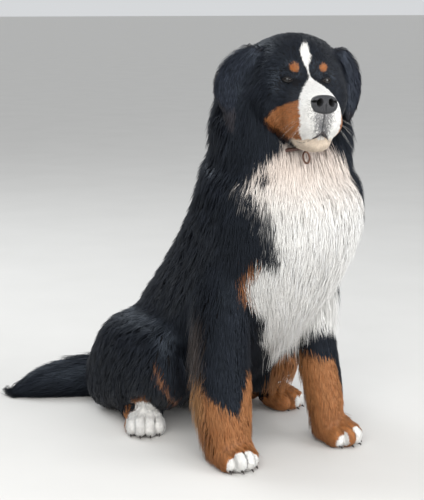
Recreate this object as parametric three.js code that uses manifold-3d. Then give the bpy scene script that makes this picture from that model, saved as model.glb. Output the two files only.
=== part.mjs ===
// A sitting Bernese mountain dog, life size, as a still museum model.
// Millimetres, +Z up. The dog looks along -Y, and its own left side is +X.
// Each form is a tube of rounded sections along a curve, and a few are stretched spheres.
import * as THREE from "three";
import { mergeVertices } from "three/addons/utils/BufferGeometryUtils.js";
import Module from "manifold-3d";

const wasm = await Module();
wasm.setup();

// Driving dimensions
const GAP = 0.3; // clearance between pieces that touch
const SMOOTHING = 0.05; // how far merging nearly flat triangles may move a surface
const EYE_HEIGHT = 842; // eyes above the floor
const HEAD_TURN = -18; // degrees the head turns towards the dog's right
const HEAD_NOD = 1; // degrees the nose drops
const HEAD_TILT = 2; // degrees the crown leans to the dog's left

const COLOURS = {
  black: { color: 0x17171a, roughness: 0.62, metalness: 0 },
  white: { color: 0xe9e2d8, roughness: 0.7, metalness: 0 },
  rust: { color: 0x9a5527, roughness: 0.68, metalness: 0 },
  leather: { color: 0x1b1a1c, roughness: 0.38, metalness: 0 },
  eye: { color: 0x2a160b, roughness: 0.08, metalness: 0 },
  collar: { color: 0x5a2f1c, roughness: 0.5, metalness: 0 },
};

const vector = (p) => new THREE.Vector3(...p);

// Mirrors a point, or the centre of each station, to the dog's other side.
const flip = (p) => [-p[0], p[1], p[2]];
const flipAll = (stations) => stations.map((s) => ({ ...s, at: flip(s.at) }));

// A form with rounded sections along a curve. A station holds its centre, its half width, and its half
// depths on the two sides of the centre: fore is the side that side x tangent points to, aft the other.
// A cup bends the section like a gutter, and facing holds every section square to one direction.
// point(t, angle) runs from the first station at 0 to the last at 1, and straight on beyond them.
function form(stations, { side = [1, 0, 0], square = 2, facing = null } = {}) {
  const centres = new THREE.CatmullRomCurve3(stations.map((s) => vector(s.at)));
  const sizes = new THREE.CatmullRomCurve3(stations.map((s) => vector([s.wide, s.fore, s.aft ?? s.fore])));
  const cups = new THREE.CatmullRomCurve3(stations.map((s) => vector([s.cup ?? 0, 0, 0])));
  const length = centres.getLength();
  const frame = (t) => {
    const inside = Math.min(1, Math.max(0, t));
    const tangent = facing ? vector(facing) : centres.getTangent(inside).normalize();
    const across = vector(side).addScaledVector(tangent, -vector(side).dot(tangent)).normalize();
    const deep = new THREE.Vector3().crossVectors(across, tangent);
    const centre = centres.getPoint(inside).addScaledVector(tangent, (t - inside) * length);
    return { centre, across, deep, tangent, size: sizes.getPoint(inside), cup: cups.getPoint(inside).x };
  };
  const point = (t, angle, grow = 0, shrink = 1) => {
    const { centre, across, deep, size, cup } = frame(t);
    const c = Math.cos(angle);
    const s = Math.sin(angle);
    const x = Math.sign(c) * Math.abs(c) ** (2 / square);
    const y = Math.sign(s) * Math.abs(s) ** (2 / square);
    const half = (y > 0 ? size.y : size.z) + grow;
    return centre
      .addScaledVector(across, x * (size.x + grow) * shrink)
      .addScaledVector(deep, y * half * shrink + cup * (1 - x * x) * shrink);
  };
  return { frame, point, length };
}

// A closed mesh of a form. round gives the length of the domed ends, and crowd above 1 draws the
// rings together towards the last station.
function tube(shape, { sides = 20, rings = 16, grow = 0, round = [0, 0], crowd = 1 } = {}) {
  const domeRings = 3;
  const slices = [];
  for (let k = 0; k <= rings; k++) slices.push({ t: 1 - (1 - k / rings) ** crowd, shrink: 1 });
  for (let k = 1; k <= domeRings; k++) {
    const part = k / (domeRings + 0.6);
    const shrink = Math.sqrt(1 - part * part);
    if (round[0]) slices.unshift({ t: (-part * (round[0] + grow)) / shape.length, shrink });
    if (round[1]) slices.push({ t: 1 + (part * (round[1] + grow)) / shape.length, shrink });
  }
  const positions = [];
  for (const { t, shrink } of slices) {
    for (let j = 0; j < sides; j++) {
      positions.push(...shape.point(t, (2 * Math.PI * j) / sides, grow, shrink));
    }
  }
  for (const [t, dome, way] of [[0, round[0], -1], [1, round[1], 1]]) {
    const { centre, tangent, deep, cup } = shape.frame(t);
    centre.addScaledVector(tangent, way * (dome + grow)).addScaledVector(deep, dome ? 0 : cup);
    positions.push(...centre);
  }
  const index = [];
  const last = slices.length - 1;
  const startPole = slices.length * sides;
  for (let j = 0; j < sides; j++) {
    const n = (j + 1) % sides;
    for (let k = 0; k < last; k++) {
      const [a, b, c, d] = [k * sides + j, k * sides + n, (k + 1) * sides + n, (k + 1) * sides + j];
      index.push(a, c, b, a, d, c);
    }
    index.push(startPole, j, n, startPole + 1, last * sides + n, last * sides + j);
  }
  return closedGeometry(positions, index);
}

function closedGeometry(positions, index) {
  const geometry = new THREE.BufferGeometry();
  geometry.setAttribute("position", new THREE.Float32BufferAttribute(positions, 3));
  geometry.setIndex(index);
  return geometry;
}

// Repeatable random numbers between -1 and 1.
function randomFrom(seed) {
  let state = seed;
  return () => {
    state = (Math.imul(state, 1664525) + 1013904223) >>> 0;
    return state / 2147483648 - 1;
  };
}

// A lock of hair: a ridged, tapering wedge that starts sunk under the surface of a form at from, lifts
// to the coat's full depth and lies along the surface to from + run, both as [t, angle].
const LOCK_RINGS = [
  { share: 0, rise: 0, wide: 0.6, thick: 0.9 },
  { share: 0.32, rise: 0.35, wide: 1, thick: 1 },
  { share: 0.7, rise: 0.85, wide: 0.76, thick: 0.75 },
  { share: 1, rise: 1, wide: 0, thick: 0 },
];
// The section of a lock, flat below and ridged above. With room it clears the plain section all round.
function lockSection(half, thick, room) {
  const low = -0.35 * thick;
  const ridge = 0.55 * thick;
  const far = half + 2 * room;
  if (!room) return [[-half, low], [half, low], [0, ridge]];
  const under = low - room;
  const over = low + room;
  return [[-far, under], [far, under], [far, over], [0, ridge + 2 * room], [-far, over]];
}
function lock(shape, { from, run, wide, thick, sink, lift, flick = 0, grow = 0 }) {
  const room = 1.5 * grow;
  const last = LOCK_RINGS.length - 1;
  const centres = LOCK_RINGS.map(({ share, rise }, k) => {
    const out = k === 0 ? -sink : lift * rise + (k === last ? flick : 0);
    return { at: shape.point(from[0] + run[0] * share, from[1] + run[1] * share, out), share, out };
  });
  const positions = [];
  LOCK_RINGS.forEach((ring, k) => {
    const { at, share, out } = centres[k];
    const behind = Math.min(k, last - 1);
    const heading = centres[behind + 1].at.clone().sub(centres[behind].at).normalize();
    const outward = shape.point(from[0] + run[0] * share, from[1] + run[1] * share, out + 10).sub(at);
    const across = new THREE.Vector3().crossVectors(heading, outward).normalize();
    const up = new THREE.Vector3().crossVectors(across, heading);
    const shift = { 0: -room, [last]: 2 * room }[k] ?? 0;
    for (const [x, y] of lockSection((wide * ring.wide) / 2, thick * ring.thick, room)) {
      const corner = at.clone().addScaledVector(across, x).addScaledVector(up, y);
      positions.push(...corner.addScaledVector(heading, shift));
    }
  });
  const corners = room ? 5 : 3;
  const index = [];
  for (let j = 0; j < corners; j++) {
    const n = (j + 1) % corners;
    for (let k = 0; k < last; k++) {
      const [a, b, c, d] = [k * corners + j, k * corners + n, (k + 1) * corners + n, (k + 1) * corners + j];
      index.push(a, d, c, a, c, b);
    }
    const end = last * corners;
    if (j > 1) index.push(0, j - 1, j, end, end + j, end + j - 1);
  }
  return closedGeometry(positions, index);
}

// Moves a plan made for the coat's outline down to its core, or to the dog's other side.
const atCore = (plan, depth) => ({ ...plan, sink: plan.sink + depth / 2, lift: plan.lift - depth / 2 });
function mirrored(plan, way) {
  if (way > 0) return plan;
  const flow = (t, angle) => [plan.flow(t, angle)[0], -plan.flow(t, angle)[1]];
  return { ...plan, angle: plan.angle.map((a) => Math.PI - a), flow };
}

// Locks in staggered rows. rows and perRow count them over the from..to window of t and angle.
function locks(shape, plan, grow = 0) {
  const random = randomFrom(plan.seed);
  const made = [];
  for (let r = 0; r < plan.rows; r++) {
    for (let c = 0; c < plan.perRow; c++) {
      const u = plan.rows > 1 ? r / (plan.rows - 1) : 0.5;
      const v = (c + 0.5 + (r % 2 ? 0.25 : -0.25)) / plan.perRow;
      const t = plan.t[0] + (plan.t[1] - plan.t[0]) * u + 0.012 * random();
      const angle = plan.angle[0] + (plan.angle[1] - plan.angle[0]) * v + 0.05 * random();
      const size = 1 + 0.16 * random();
      const [dt, da] = plan.flow(t, angle);
      const swing = 0.1 * random();
      made.push(
        solid(
          lock(shape, {
            from: [t, angle],
            run: [(dt * size) / shape.length, da + swing],
            wide: plan.wide * (1 + 0.14 * random()),
            thick: plan.thick,
            sink: plan.sink,
            lift: plan.lift * (1 + 0.12 * random()),
            flick: plan.flick * random(),
            grow,
          }),
        ),
      );
    }
  }
  return made;
}

// Pushes the surface out, or in where by is negative, around each named point, fading with distance.
function swell(geometry, places) {
  geometry.computeVertexNormals();
  const position = geometry.getAttribute("position");
  const normal = geometry.getAttribute("normal");
  const from = position.clone();
  for (let i = 0; i < position.count; i++) {
    const p = new THREE.Vector3().fromBufferAttribute(from, i);
    const n = new THREE.Vector3().fromBufferAttribute(normal, i);
    let push = 0;
    for (const { at, reach, by } of places) {
      const [rx, ry, rz] = Array.isArray(reach) ? reach : [reach, reach, reach];
      const d2 = ((p.x - at[0]) / rx) ** 2 + ((p.y - at[1]) / ry) ** 2 + ((p.z - at[2]) / rz) ** 2;
      push += by * Math.exp(-d2);
    }
    p.addScaledVector(n, push);
    position.setXYZ(i, p.x, p.y, p.z);
  }
  return geometry;
}

// A sphere stretched to three half sizes, turned about the upright axis, and set at a point.
function ball(at, [rx, ry, rz], { turn = 0, grow = 0, wide = 16, high = 10 } = {}) {
  const geometry = new THREE.SphereGeometry(1, wide, high);
  geometry.scale(rx + grow, ry + grow, rz + grow);
  geometry.rotateX(Math.PI / 2);
  geometry.scale(1, (ry + grow) / (rz + grow), (rz + grow) / (ry + grow));
  geometry.rotateZ(THREE.MathUtils.degToRad(turn));
  geometry.translate(...at);
  return geometry;
}

function solid(geometry) {
  const bare = new THREE.BufferGeometry();
  bare.setAttribute("position", geometry.getAttribute("position"));
  bare.setIndex(geometry.getIndex());
  const merged = mergeVertices(bare, 1e-3);
  const index = merged.getIndex().array;
  const kept = [];
  for (let i = 0; i < index.length; i += 3) {
    const [a, b, c] = index.slice(i, i + 3);
    if (a !== b && b !== c && c !== a) kept.push(a, b, c);
  }
  const vertProperties = merged.getAttribute("position").array;
  const mesh = new wasm.Mesh({ numProp: 3, vertProperties, triVerts: new Uint32Array(kept) });
  const made = new wasm.Manifold(mesh);
  if (made.volume() < 0) throw new Error("a piece is inside out");
  return made;
}

const join = (pieces) => pieces.reduce((whole, piece) => whole.add(piece));
const cut = (body, cutters) => cutters.reduce((left, cutter) => left.subtract(cutter), body);

// The largest closed surface of a solid, without the scraps that a cut leaves.
function largest(body) {
  const parts = body.decompose().filter((p) => p.volume() > 0);
  return parts.sort((a, b) => b.volume() - a.volume())[0];
}

const fused = (pieces) => largest(join(pieces));

// The head's own frame sits midway between the eyes, with the same axes as the dog before it is turned.
const headFrame = new THREE.Matrix4().compose(
  new THREE.Vector3(-21, -60, EYE_HEIGHT),
  new THREE.Quaternion().setFromEuler(
    new THREE.Euler(
      THREE.MathUtils.degToRad(HEAD_NOD),
      THREE.MathUtils.degToRad(HEAD_TILT),
      THREE.MathUtils.degToRad(HEAD_TURN),
      "ZXY",
    ),
  ),
  new THREE.Vector3(1, 1, 1),
);
const onHead = (geometry) => geometry.applyMatrix4(headFrame);

// Trunk: hips on the floor, loin, ribs and shoulders. fore is the belly side, aft the back.
const TRUNK = [
  { at: [8, 505, 105], wide: 160, fore: 92, aft: 104 },
  { at: [8, 430, 165], wide: 190, fore: 140, aft: 154 },
  { at: [8, 330, 265], wide: 190, fore: 168, aft: 160 },
  { at: [8, 240, 355], wide: 188, fore: 192, aft: 164 },
  { at: [12, 155, 450], wide: 194, fore: 205, aft: 170 },
  { at: [15, 92, 540], wide: 197, fore: 202, aft: 172 },
  { at: [12, 66, 620], wide: 187, fore: 186, aft: 168 },
];
const trunkForm = form(TRUNK);

// Neck with its ruff, from between the shoulders to the back of the skull.
const NECK = [
  { at: [10, 74, 600], wide: 176, fore: 176, aft: 156 },
  { at: [10, 62, 680], wide: 170, fore: 150, aft: 152 },
  { at: [0, 52, 750], wide: 165, fore: 118, aft: 142 },
  { at: [-12, 44, 820], wide: 146, fore: 90, aft: 120 },
];
const neckForm = form(NECK);

// Skull and muzzle, in the head's frame, from the back of the skull to the nose, as the height of
// the crown or bridge, the height of the underside, and the half width.
const PROFILE = [
  { y: 140, top: 58, under: -84, wide: 90 },
  { y: 100, top: 84, under: -106, wide: 104 },
  { y: 60, top: 91, under: -118, wide: 106 },
  { y: 20, top: 76, under: -124, wide: 96 },
  { y: 0, top: 48, under: -126, wide: 82 },
  { y: -18, top: 16, under: -127, wide: 68 },
  { y: -36, top: 1, under: -126, wide: 58 },
  { y: -66, top: -8, under: -124, wide: 52 },
  { y: -94, top: -14, under: -119, wide: 46 },
  { y: -112, top: -20, under: -106, wide: 38 },
];
const SKULL = PROFILE.map(({ y, top, under, wide }) => {
  const middle = under + (top - under) * 0.5;
  return { at: [0, y, middle], wide, fore: middle - under, aft: top - middle };
});
const bothSides = (place) => [place, { ...place, at: flip(place.at) }];
const FACE_FORMS = [
  ...bothSides({ at: [34, 0, 34], reach: 22, by: 9 }), // brows
  ...bothSides({ at: [43, -14, 0], reach: [20, 16, 15], by: -9 }), // eye sockets
  ...bothSides({ at: [66, -4, -28], reach: 26, by: 5 }), // cheek bones
  ...bothSides({ at: [46, -74, -86], reach: [20, 30, 24], by: 9 }), // hanging upper lips
  ...bothSides({ at: [92, 30, -60], reach: 45, by: 10 }), // cheek fur
  { at: [0, -4, 42], reach: [10, 26, 30], by: -5 }, // furrow of the forehead
  { at: [0, -118, -92], reach: [7, 14, 18], by: -6 }, // cleft of the upper lip
];
const EYE = { at: [39, -3, 0], radius: 13 };
const eyeball = (way, grow = 0) => {
  const r = EYE.radius + grow;
  return solid(onHead(ball([way * EYE.at[0], EYE.at[1], EYE.at[2]], [r, r, r], { wide: 10, high: 8 })));
};
const LIDS = { forward: 1, size: [17, 15.6, 14.6] };
const SLIT = { outward: 1, forward: 20, size: [11.5, 16, 5.6], turn: 16 };
const lids = (way) => {
  const at = [way * EYE.at[0], EYE.at[1] - LIDS.forward, EYE.at[2]];
  return solid(onHead(ball(at, LIDS.size, { wide: 12, high: 7 })));
};
const eyeSlit = (way) => {
  const at = [way * (EYE.at[0] + SLIT.outward), EYE.at[1] - SLIT.forward, EYE.at[2]];
  return solid(onHead(ball(at, SLIT.size, { turn: way * SLIT.turn, wide: 12, high: 6 })));
};

const NOSE = [
  { at: [0, -96, -44], wide: 22, fore: 17, aft: 15 },
  { at: [0, -108, -42], wide: 27, fore: 20, aft: 18 },
  { at: [0, -120, -42], wide: 27, fore: 19, aft: 18 },
];
const nostril = (way) => {
  const course = [
    { at: [way * 24, -125, -47], wide: 2.6, fore: 3.4 },
    { at: [way * 17, -128, -44], wide: 5.2, fore: 5.6 },
    { at: [way * 11, -131, -41], wide: 5.6, fore: 6.6 },
  ];
  return solid(onHead(tube(form(course, { side: [0, 1, 0] }), { sides: 8, rings: 3, round: [3, 5] })));
};
const noseForm = form(NOSE, { square: 2.4 });
const noseLeather = (grow = 0) => {
  return solid(onHead(tube(noseForm, { sides: 12, rings: 3, grow, round: [6, 9] })));
};

const skullForm = form(SKULL, { square: 2.2, facing: [0, -1, 0] });
const headWhole = (grow = 0) => {
  const skull = tube(skullForm, { sides: 26, rings: 18, grow, round: [40, 12], crowd: 1.35 });
  return join([solid(onHead(swell(skull, FACE_FORMS))), lids(1), lids(-1)]);
};

// Lower jaw and chin, below the line of the mouth.
const JAW = [
  { at: [0, 10, -106], wide: 52, fore: 24 },
  { at: [0, -30, -114], wide: 44, fore: 22 },
  { at: [0, -66, -119], wide: 37, fore: 21 },
  { at: [0, -90, -120], wide: 30, fore: 19 },
];
const jawForm = form(JAW);
const jaw = (grow = 0) => solid(onHead(tube(jawForm, { sides: 12, rings: 4, grow, round: [14, 14] })));

// Ear flap: a flat, cupped tube that hangs from the side of the crown, its hollow towards the head.
// It is given by its middle line and half width, and swings out less on the dog's left.
const EAR = [
  { at: [94, 56, 54], wide: 20, fore: 13, cup: 1 },
  { at: [105, 60, 40], wide: 26, fore: 13, cup: 4 },
  { at: [120, 66, 18], wide: 36, fore: 12, cup: 7 },
  { at: [132, 70, -12], wide: 43, fore: 11, cup: 9 },
  { at: [133, 69, -36], wide: 40, fore: 10, cup: 7 },
  { at: [131, 65, -62], wide: 26, fore: 9, cup: 4 },
  { at: [129, 61, -78], wide: 12, fore: 7, cup: 1 },
];
const EAR_ACROSS = [0.85, 0.52, -0.12]; // runs from the front edge of the flap to its outer, back edge
const EAR_SWING = { left: 0.86, right: 1 };
const ear = (way, grow = 0) => {
  const swing = way > 0 ? EAR_SWING.left : EAR_SWING.right;
  const root = EAR[0].at[0];
  const stations = EAR.map((s) => ({
    ...s,
    at: [way * (root + (s.at[0] - root) * swing), s.at[1], s.at[2]],
    wide: s.wide * swing,
    cup: -s.cup,
  }));
  const side = [EAR_ACROSS[0], way * EAR_ACROSS[1], way * EAR_ACROSS[2]];
  return solid(onHead(tube(form(stations, { side }), { sides: 12, rings: 7, grow, round: [12, 14] })));
};

// Front leg, from the paw up to the shoulder. fore is the front.
const FORELEG = [
  { at: [142, 40, 44], wide: 50, fore: 38, aft: 66 },
  { at: [144, 48, 100], wide: 60, fore: 44, aft: 82 },
  { at: [141, 58, 170], wide: 66, fore: 46, aft: 84 },
  { at: [134, 70, 260], wide: 60, fore: 54, aft: 88 },
  { at: [124, 84, 350], wide: 60, fore: 72, aft: 84 },
  { at: [108, 104, 440], wide: 50, fore: 70, aft: 70 },
];
// The dog's left foreleg has the slimmer outline and less feather behind it.
const SLIMMER = { wide: 0.66, fore: 0.82, aft: 0.5, inward: 18 };

// Back leg: the haunch folds from hip to knee over the heel and the hind foot on the floor.
const HAUNCH = [
  { at: [118, 528, 70], wide: 112, fore: 84, aft: 112 },
  { at: [138, 430, 140], wide: 106, fore: 140, aft: 144 },
  { at: [148, 340, 180], wide: 98, fore: 150, aft: 124 },
  { at: [154, 262, 205], wide: 78, fore: 120, aft: 92 },
];
const HIND_FOOT = [
  { at: [128, 480, 40], wide: 36, fore: 34, aft: 40 },
  { at: [150, 430, 38], wide: 36, fore: 34, aft: 38 },
  { at: [170, 380, 36], wide: 38, fore: 32, aft: 36 },
];

// Paw: a pad, four toes and their claws, in the paw's own frame with the toes towards -Y.
const TOES = [
  { x: -33, y: -18, long: 30, wide: 15, high: 24 },
  { x: -12, y: -30, long: 34, wide: 15, high: 29 },
  { x: 12, y: -30, long: 34, wide: 15, high: 29 },
  { x: 33, y: -18, long: 30, wide: 15, high: 24 },
];
const CLAW = { out: 9, rise: 12, thick: 5 };
const floorCutter = (grow = 0) => {
  const slab = new THREE.BoxGeometry(3000, 3000, 600);
  slab.translate(0, 300, -300 + grow);
  return solid(slab);
};
function paw({ at, turn }, grow = 0) {
  const place = (g) => {
    g.rotateZ(THREE.MathUtils.degToRad(turn));
    g.translate(at[0], at[1], 0);
    return g;
  };
  const pad = place(ball([0, 8, 28], [46, 52, 34], { grow, wide: 11, high: 5 }));
  const pieces = [solid(pad)];
  for (const toe of TOES) {
    const knuckle = ball([toe.x, toe.y, toe.high * 0.86], [toe.wide, toe.long, toe.high], { grow, wide: 7, high: 5 });
    pieces.push(solid(place(knuckle)));
    const tip = toe.y - toe.long;
    const claw = new THREE.ConeGeometry(CLAW.thick, CLAW.out * 2, 5);
    claw.rotateX(THREE.MathUtils.degToRad(-118));
    claw.translate(toe.x, tip + 2, CLAW.rise - 2);
    pieces.push(solid(place(claw)));
  }
  return join(pieces).subtract(floorCutter());
}
const PAWS = {
  forepaw_right: { at: [-131, 28], turn: -4 },
  forepaw_left: { at: [158, 26], turn: 8 },
  hindpaw_right: { at: [-181, 330], turn: -30 },
  hindpaw_left: { at: [202, 308], turn: 24 },
};

// Tail, lying on the floor and curving to the dog's right.
const TAIL = [
  { at: [-10, 560, 78], wide: 56, fore: 46, aft: 100 },
  { at: [-60, 622, 60], wide: 62, fore: 56, aft: 84 },
  { at: [-150, 676, 46], wide: 60, fore: 64, aft: 70 },
  { at: [-250, 722, 32], wide: 48, fore: 54, aft: 54 },
  { at: [-318, 750, 14], wide: 27, fore: 26, aft: 36 },
];

const tailForm = form(TAIL, { side: [-0.5, 0.87, 0] });

// Collar: the stretch of a thin rolled band that shows at the throat, with a loop hanging from it. It
// follows the neck at one place along it, over a range of angles.
const COLLAR = { t: 0.56, angle: [1.5, 2.0], thick: 4, out: 2 };
const LOOP = { angle: 1.76, radius: 10, thick: 2, oval: 1.2 };
const collar = (grow = 0) => {
  const course = [0, 1, 2, 3, 4].map((k) => {
    const angle = COLLAR.angle[0] + ((COLLAR.angle[1] - COLLAR.angle[0]) * k) / 4;
    return { at: [...neckForm.point(COLLAR.t, angle, COLLAR.out)], wide: COLLAR.thick, fore: COLLAR.thick };
  });
  return solid(tube(form(course, { side: [0, 0, 1] }), { sides: 6, rings: 6, grow, round: [3, 3] }));
};
const collarLoop = (grow = 0) => {
  const loop = new THREE.TorusGeometry(LOOP.radius, LOOP.thick + grow, 5, 12);
  loop.scale(1, LOOP.oval, 1);
  loop.rotateX(THREE.MathUtils.degToRad(78));
  loop.rotateZ(LOOP.angle - Math.PI / 2);
  const hang = neckForm.point(COLLAR.t, LOOP.angle, COLLAR.out + 9);
  const drop = COLLAR.thick + LOOP.thick + LOOP.radius * LOOP.oval + 2 * GAP;
  loop.translate(hang.x, hang.y, hang.z - drop);
  return solid(loop);
};

const sideways = (stations, way) => (way > 0 ? stations : flipAll(stations));

const forelegForm = (way) => {
  const name = way > 0 ? "forepaw_left" : "forepaw_right";
  const [pawX, pawY] = PAWS[name].at;
  const reach = [pawX - way * FORELEG[0].at[0], pawY + 14 - FORELEG[0].at[1]];
  const stations = FORELEG.map((s, k) => {
    const share = Math.max(0, 1 - k / 4);
    const slim = way > 0 ? Math.min(1, Math.max(0, (5 - k) / 2)) : 0;
    const x = way * s.at[0] + reach[0] * share - SLIMMER.inward * slim;
    return {
      at: [x, s.at[1] + reach[1] * share, s.at[2]],
      wide: s.wide * (1 + (SLIMMER.wide - 1) * slim),
      fore: s.fore * (1 + (SLIMMER.fore - 1) * slim),
      aft: s.aft * (1 + (SLIMMER.aft - 1) * slim),
    };
  });
  return form(stations);
};
const haunchForm = (way) => form(sideways(HAUNCH, way), { square: 2.3 });
const hindFoot = (way, grow = 0) => {
  return solid(tube(form(sideways(HIND_FOOT, way)), { sides: 10, rings: 2, grow, round: [22, 20] }));
};

// The coat. Every outline above is out to the tips of the coat, so the core under the locks stays
// half the coat's depth inside it.
const COAT = { trunk: 36, neck: 44, haunch: 34, tail: 40 };
const QUARTER = Math.PI / 2;

// How hair lies, as millimetres along the form and radians round it, for one lock.
const downTrunk = (t, angle) => [-190, 0.2 * Math.sin(angle + QUARTER) * Math.sign(Math.cos(angle))];

const TRUNK_LOCKS = [
  { seed: 11, rows: 3, perRow: 3, t: [0.84, 0.36], angle: [-0.6, 0.85] },
  { seed: 12, rows: 3, perRow: 3, t: [0.84, 0.36], angle: [2.3, 3.75] },
  { seed: 13, rows: 4, perRow: 3, t: [0.84, 0.24], angle: [3.8, 5.6] },
  { seed: 14, rows: 3, perRow: 3, t: [0.92, 0.6], angle: [0.85, 2.3] },
].map((plan) => ({ ...plan, flow: downTrunk, wide: 98, thick: 15, sink: 12, lift: 20, flick: 3 }));
const NECK_LOCKS = [
  { seed: 21, rows: 2, perRow: 8, t: [0.78, 0.34], angle: [0, 2 * Math.PI] },
].map((plan) => ({ ...plan, flow: () => [-160, 0], wide: 124, thick: 17, sink: 14, lift: 24, flick: 3 }));
const HAUNCH_LOCKS = {
  seed: 31, rows: 3, perRow: 2, t: [0.04, 0.92], angle: [-1.9, 0.1], flow: () => [-30, 1.15],
  wide: 112, thick: 15, sink: 10, lift: 17, flick: 3,
};
const TAIL_LOCKS = {
  seed: 41, rows: 3, perRow: 3, t: [0.12, 0.74], angle: [-0.5, 3.64], flow: () => [128, 0.05],
  wide: 70, thick: 12, sink: 8, lift: 18, flick: 3,
};
const ELBOW_LOCKS = {
  seed: 51, rows: 2, perRow: 2, t: [0.64, 0.4], angle: [3.3, 5.3], flow: () => [-112, 0],
  wide: 66, thick: 12, sink: 20, lift: 14, flick: 3,
};

const trunk = (grow = 0) => {
  const inset = grow - COAT.trunk / 2;
  const core = solid(tube(trunkForm, { sides: 16, rings: 8, grow: inset, round: [85, 70] }));
  return fused([core, ...TRUNK_LOCKS.flatMap((plan) => locks(trunkForm, atCore(plan, COAT.trunk), grow))]);
};
const neck = (grow = 0) => {
  const inset = grow - COAT.neck / 2;
  const core = solid(tube(neckForm, { sides: 16, rings: 3, grow: inset, round: [50, 60] }));
  return fused([core, ...NECK_LOCKS.flatMap((plan) => locks(neckForm, atCore(plan, COAT.neck), grow))]);
};
const haunch = (way, grow = 0) => {
  const shape = haunchForm(way);
  const inset = grow - COAT.haunch / 2;
  const core = solid(tube(shape, { sides: 12, rings: 4, grow: inset, round: [84, 60] }));
  return fused([core, ...locks(shape, atCore(mirrored(HAUNCH_LOCKS, way), COAT.haunch), grow)]);
};
const foreleg = (way, grow = 0) => {
  const shape = forelegForm(way);
  const core = solid(tube(shape, { sides: 10, rings: 6, grow, round: [10, 50] }));
  return fused([core, ...locks(shape, mirrored(ELBOW_LOCKS, way), grow)]);
};
const tailWhole = (grow = 0) => {
  const inset = grow - COAT.tail / 2;
  const core = solid(tube(tailForm, { sides: 10, rings: 6, grow: inset, round: [42, 36] }));
  return fused([core, ...locks(tailForm, atCore(TAIL_LOCKS, COAT.tail), grow)]);
};

// Builds every node. A later piece is cut by the earlier ones that it touches.
const dog = new THREE.Group();
function add(name, colour, body) {
  const mesh = largest(body.simplify(SMOOTHING)).getMesh();
  const geometry = new THREE.BufferGeometry();
  geometry.setAttribute("position", new THREE.BufferAttribute(new Float32Array(mesh.vertProperties), 3));
  geometry.setIndex(new THREE.BufferAttribute(new Uint32Array(mesh.triVerts), 1));
  geometry.computeVertexNormals();
  const node = new THREE.Mesh(geometry, new THREE.MeshStandardMaterial(COLOURS[colour]));
  node.name = name;
  dog.add(node);
}

const floor = floorCutter();
const heads = cut(headWhole(), [
  eyeball(1, GAP),
  eyeball(-1, GAP),
  eyeSlit(1),
  eyeSlit(-1),
  noseLeather(GAP),
]);
add("head", "black", heads);
add("eye_left", "eye", eyeball(1));
add("eye_right", "eye", eyeball(-1));
add("nose", "leather", cut(noseLeather(), [nostril(1), nostril(-1)]));
const headCutter = headWhole(GAP);
add("jaw", "white", cut(jaw(), [headCutter]));
for (const way of [1, -1]) add(way > 0 ? "ear_left" : "ear_right", "black", cut(ear(way), [headCutter]));
const headSet = [headCutter, jaw(GAP), ear(1, GAP), ear(-1, GAP)];
add("collar", "collar", cut(collar(), headSet));
add("collar_loop", "collar", cut(collarLoop(), [collar(GAP), ...headSet]));
add("neck", "black", cut(neck(), [...headSet, collar(GAP), collarLoop(GAP)]));
const neckCutter = neck(GAP);
const trunkCutter = trunk(GAP);
add("trunk", "black", cut(trunk(), [neckCutter, floor]));
for (const way of [1, -1]) {
  const name = way > 0 ? "left" : "right";
  const forepaw = paw(PAWS["forepaw_" + name], GAP);
  const hindpaw = paw(PAWS["hindpaw_" + name], GAP);
  add("forepaw_" + name, "rust", paw(PAWS["forepaw_" + name]));
  add("foreleg_" + name, "black", cut(foreleg(way), [trunkCutter, neckCutter, forepaw]));
  add("hindpaw_" + name, "white", paw(PAWS["hindpaw_" + name]));
  const haunchCutter = haunch(way, GAP);
  add("haunch_" + name, "black", cut(haunch(way), [trunkCutter, floor, hindpaw]));
  add("hindfoot_" + name, "rust", cut(hindFoot(way), [trunkCutter, haunchCutter, hindpaw, floor]));
}
add("tail", "black", cut(tailWhole(), [trunkCutter, haunch(-1, GAP), haunch(1, GAP), floor]));

const box = new THREE.Box3().setFromObject(dog);
const middle = box.getCenter(new THREE.Vector3());
dog.position.set(-middle.x, -middle.y, -box.min.z);

export default dog;
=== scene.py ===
import bmesh
import bpy
import numpy as np
from mathutils import Euler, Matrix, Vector
from mathutils.bvhtree import BVHTree
from mathutils.kdtree import KDTree


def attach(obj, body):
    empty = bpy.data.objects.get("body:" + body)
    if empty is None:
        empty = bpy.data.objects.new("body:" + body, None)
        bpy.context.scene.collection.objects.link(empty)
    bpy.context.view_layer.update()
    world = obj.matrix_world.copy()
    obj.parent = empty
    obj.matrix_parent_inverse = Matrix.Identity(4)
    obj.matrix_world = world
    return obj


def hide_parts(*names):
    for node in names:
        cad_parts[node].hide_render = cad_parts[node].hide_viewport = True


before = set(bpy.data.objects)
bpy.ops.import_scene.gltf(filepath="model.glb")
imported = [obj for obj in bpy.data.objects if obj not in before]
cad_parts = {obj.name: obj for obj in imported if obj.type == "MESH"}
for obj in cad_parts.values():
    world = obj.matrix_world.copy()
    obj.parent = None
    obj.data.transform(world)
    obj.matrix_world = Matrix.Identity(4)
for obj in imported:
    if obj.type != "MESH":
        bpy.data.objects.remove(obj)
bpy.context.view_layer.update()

# Studio.
# A pale seamless floor, a broad key light over the camera, a fill from its right, a rim light from
# behind, and the camera at the photograph's place, a metre high and two and a half from the head.
CENTRED = np.array([52.2545, -302.684, 0.0])
CAMERA_AT = np.array([-1568.85, -2056.6, 983.8])
CAMERA_PITCH = 78.843
CAMERA_YAW = -33.4725
CAMERA_LENS = 87.97


def placed(points):
    """Points in the dog's own millimetres, moved onto the solids and turned into metres."""
    return (np.asarray(points, float) + CENTRED) / 1000.0


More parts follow.
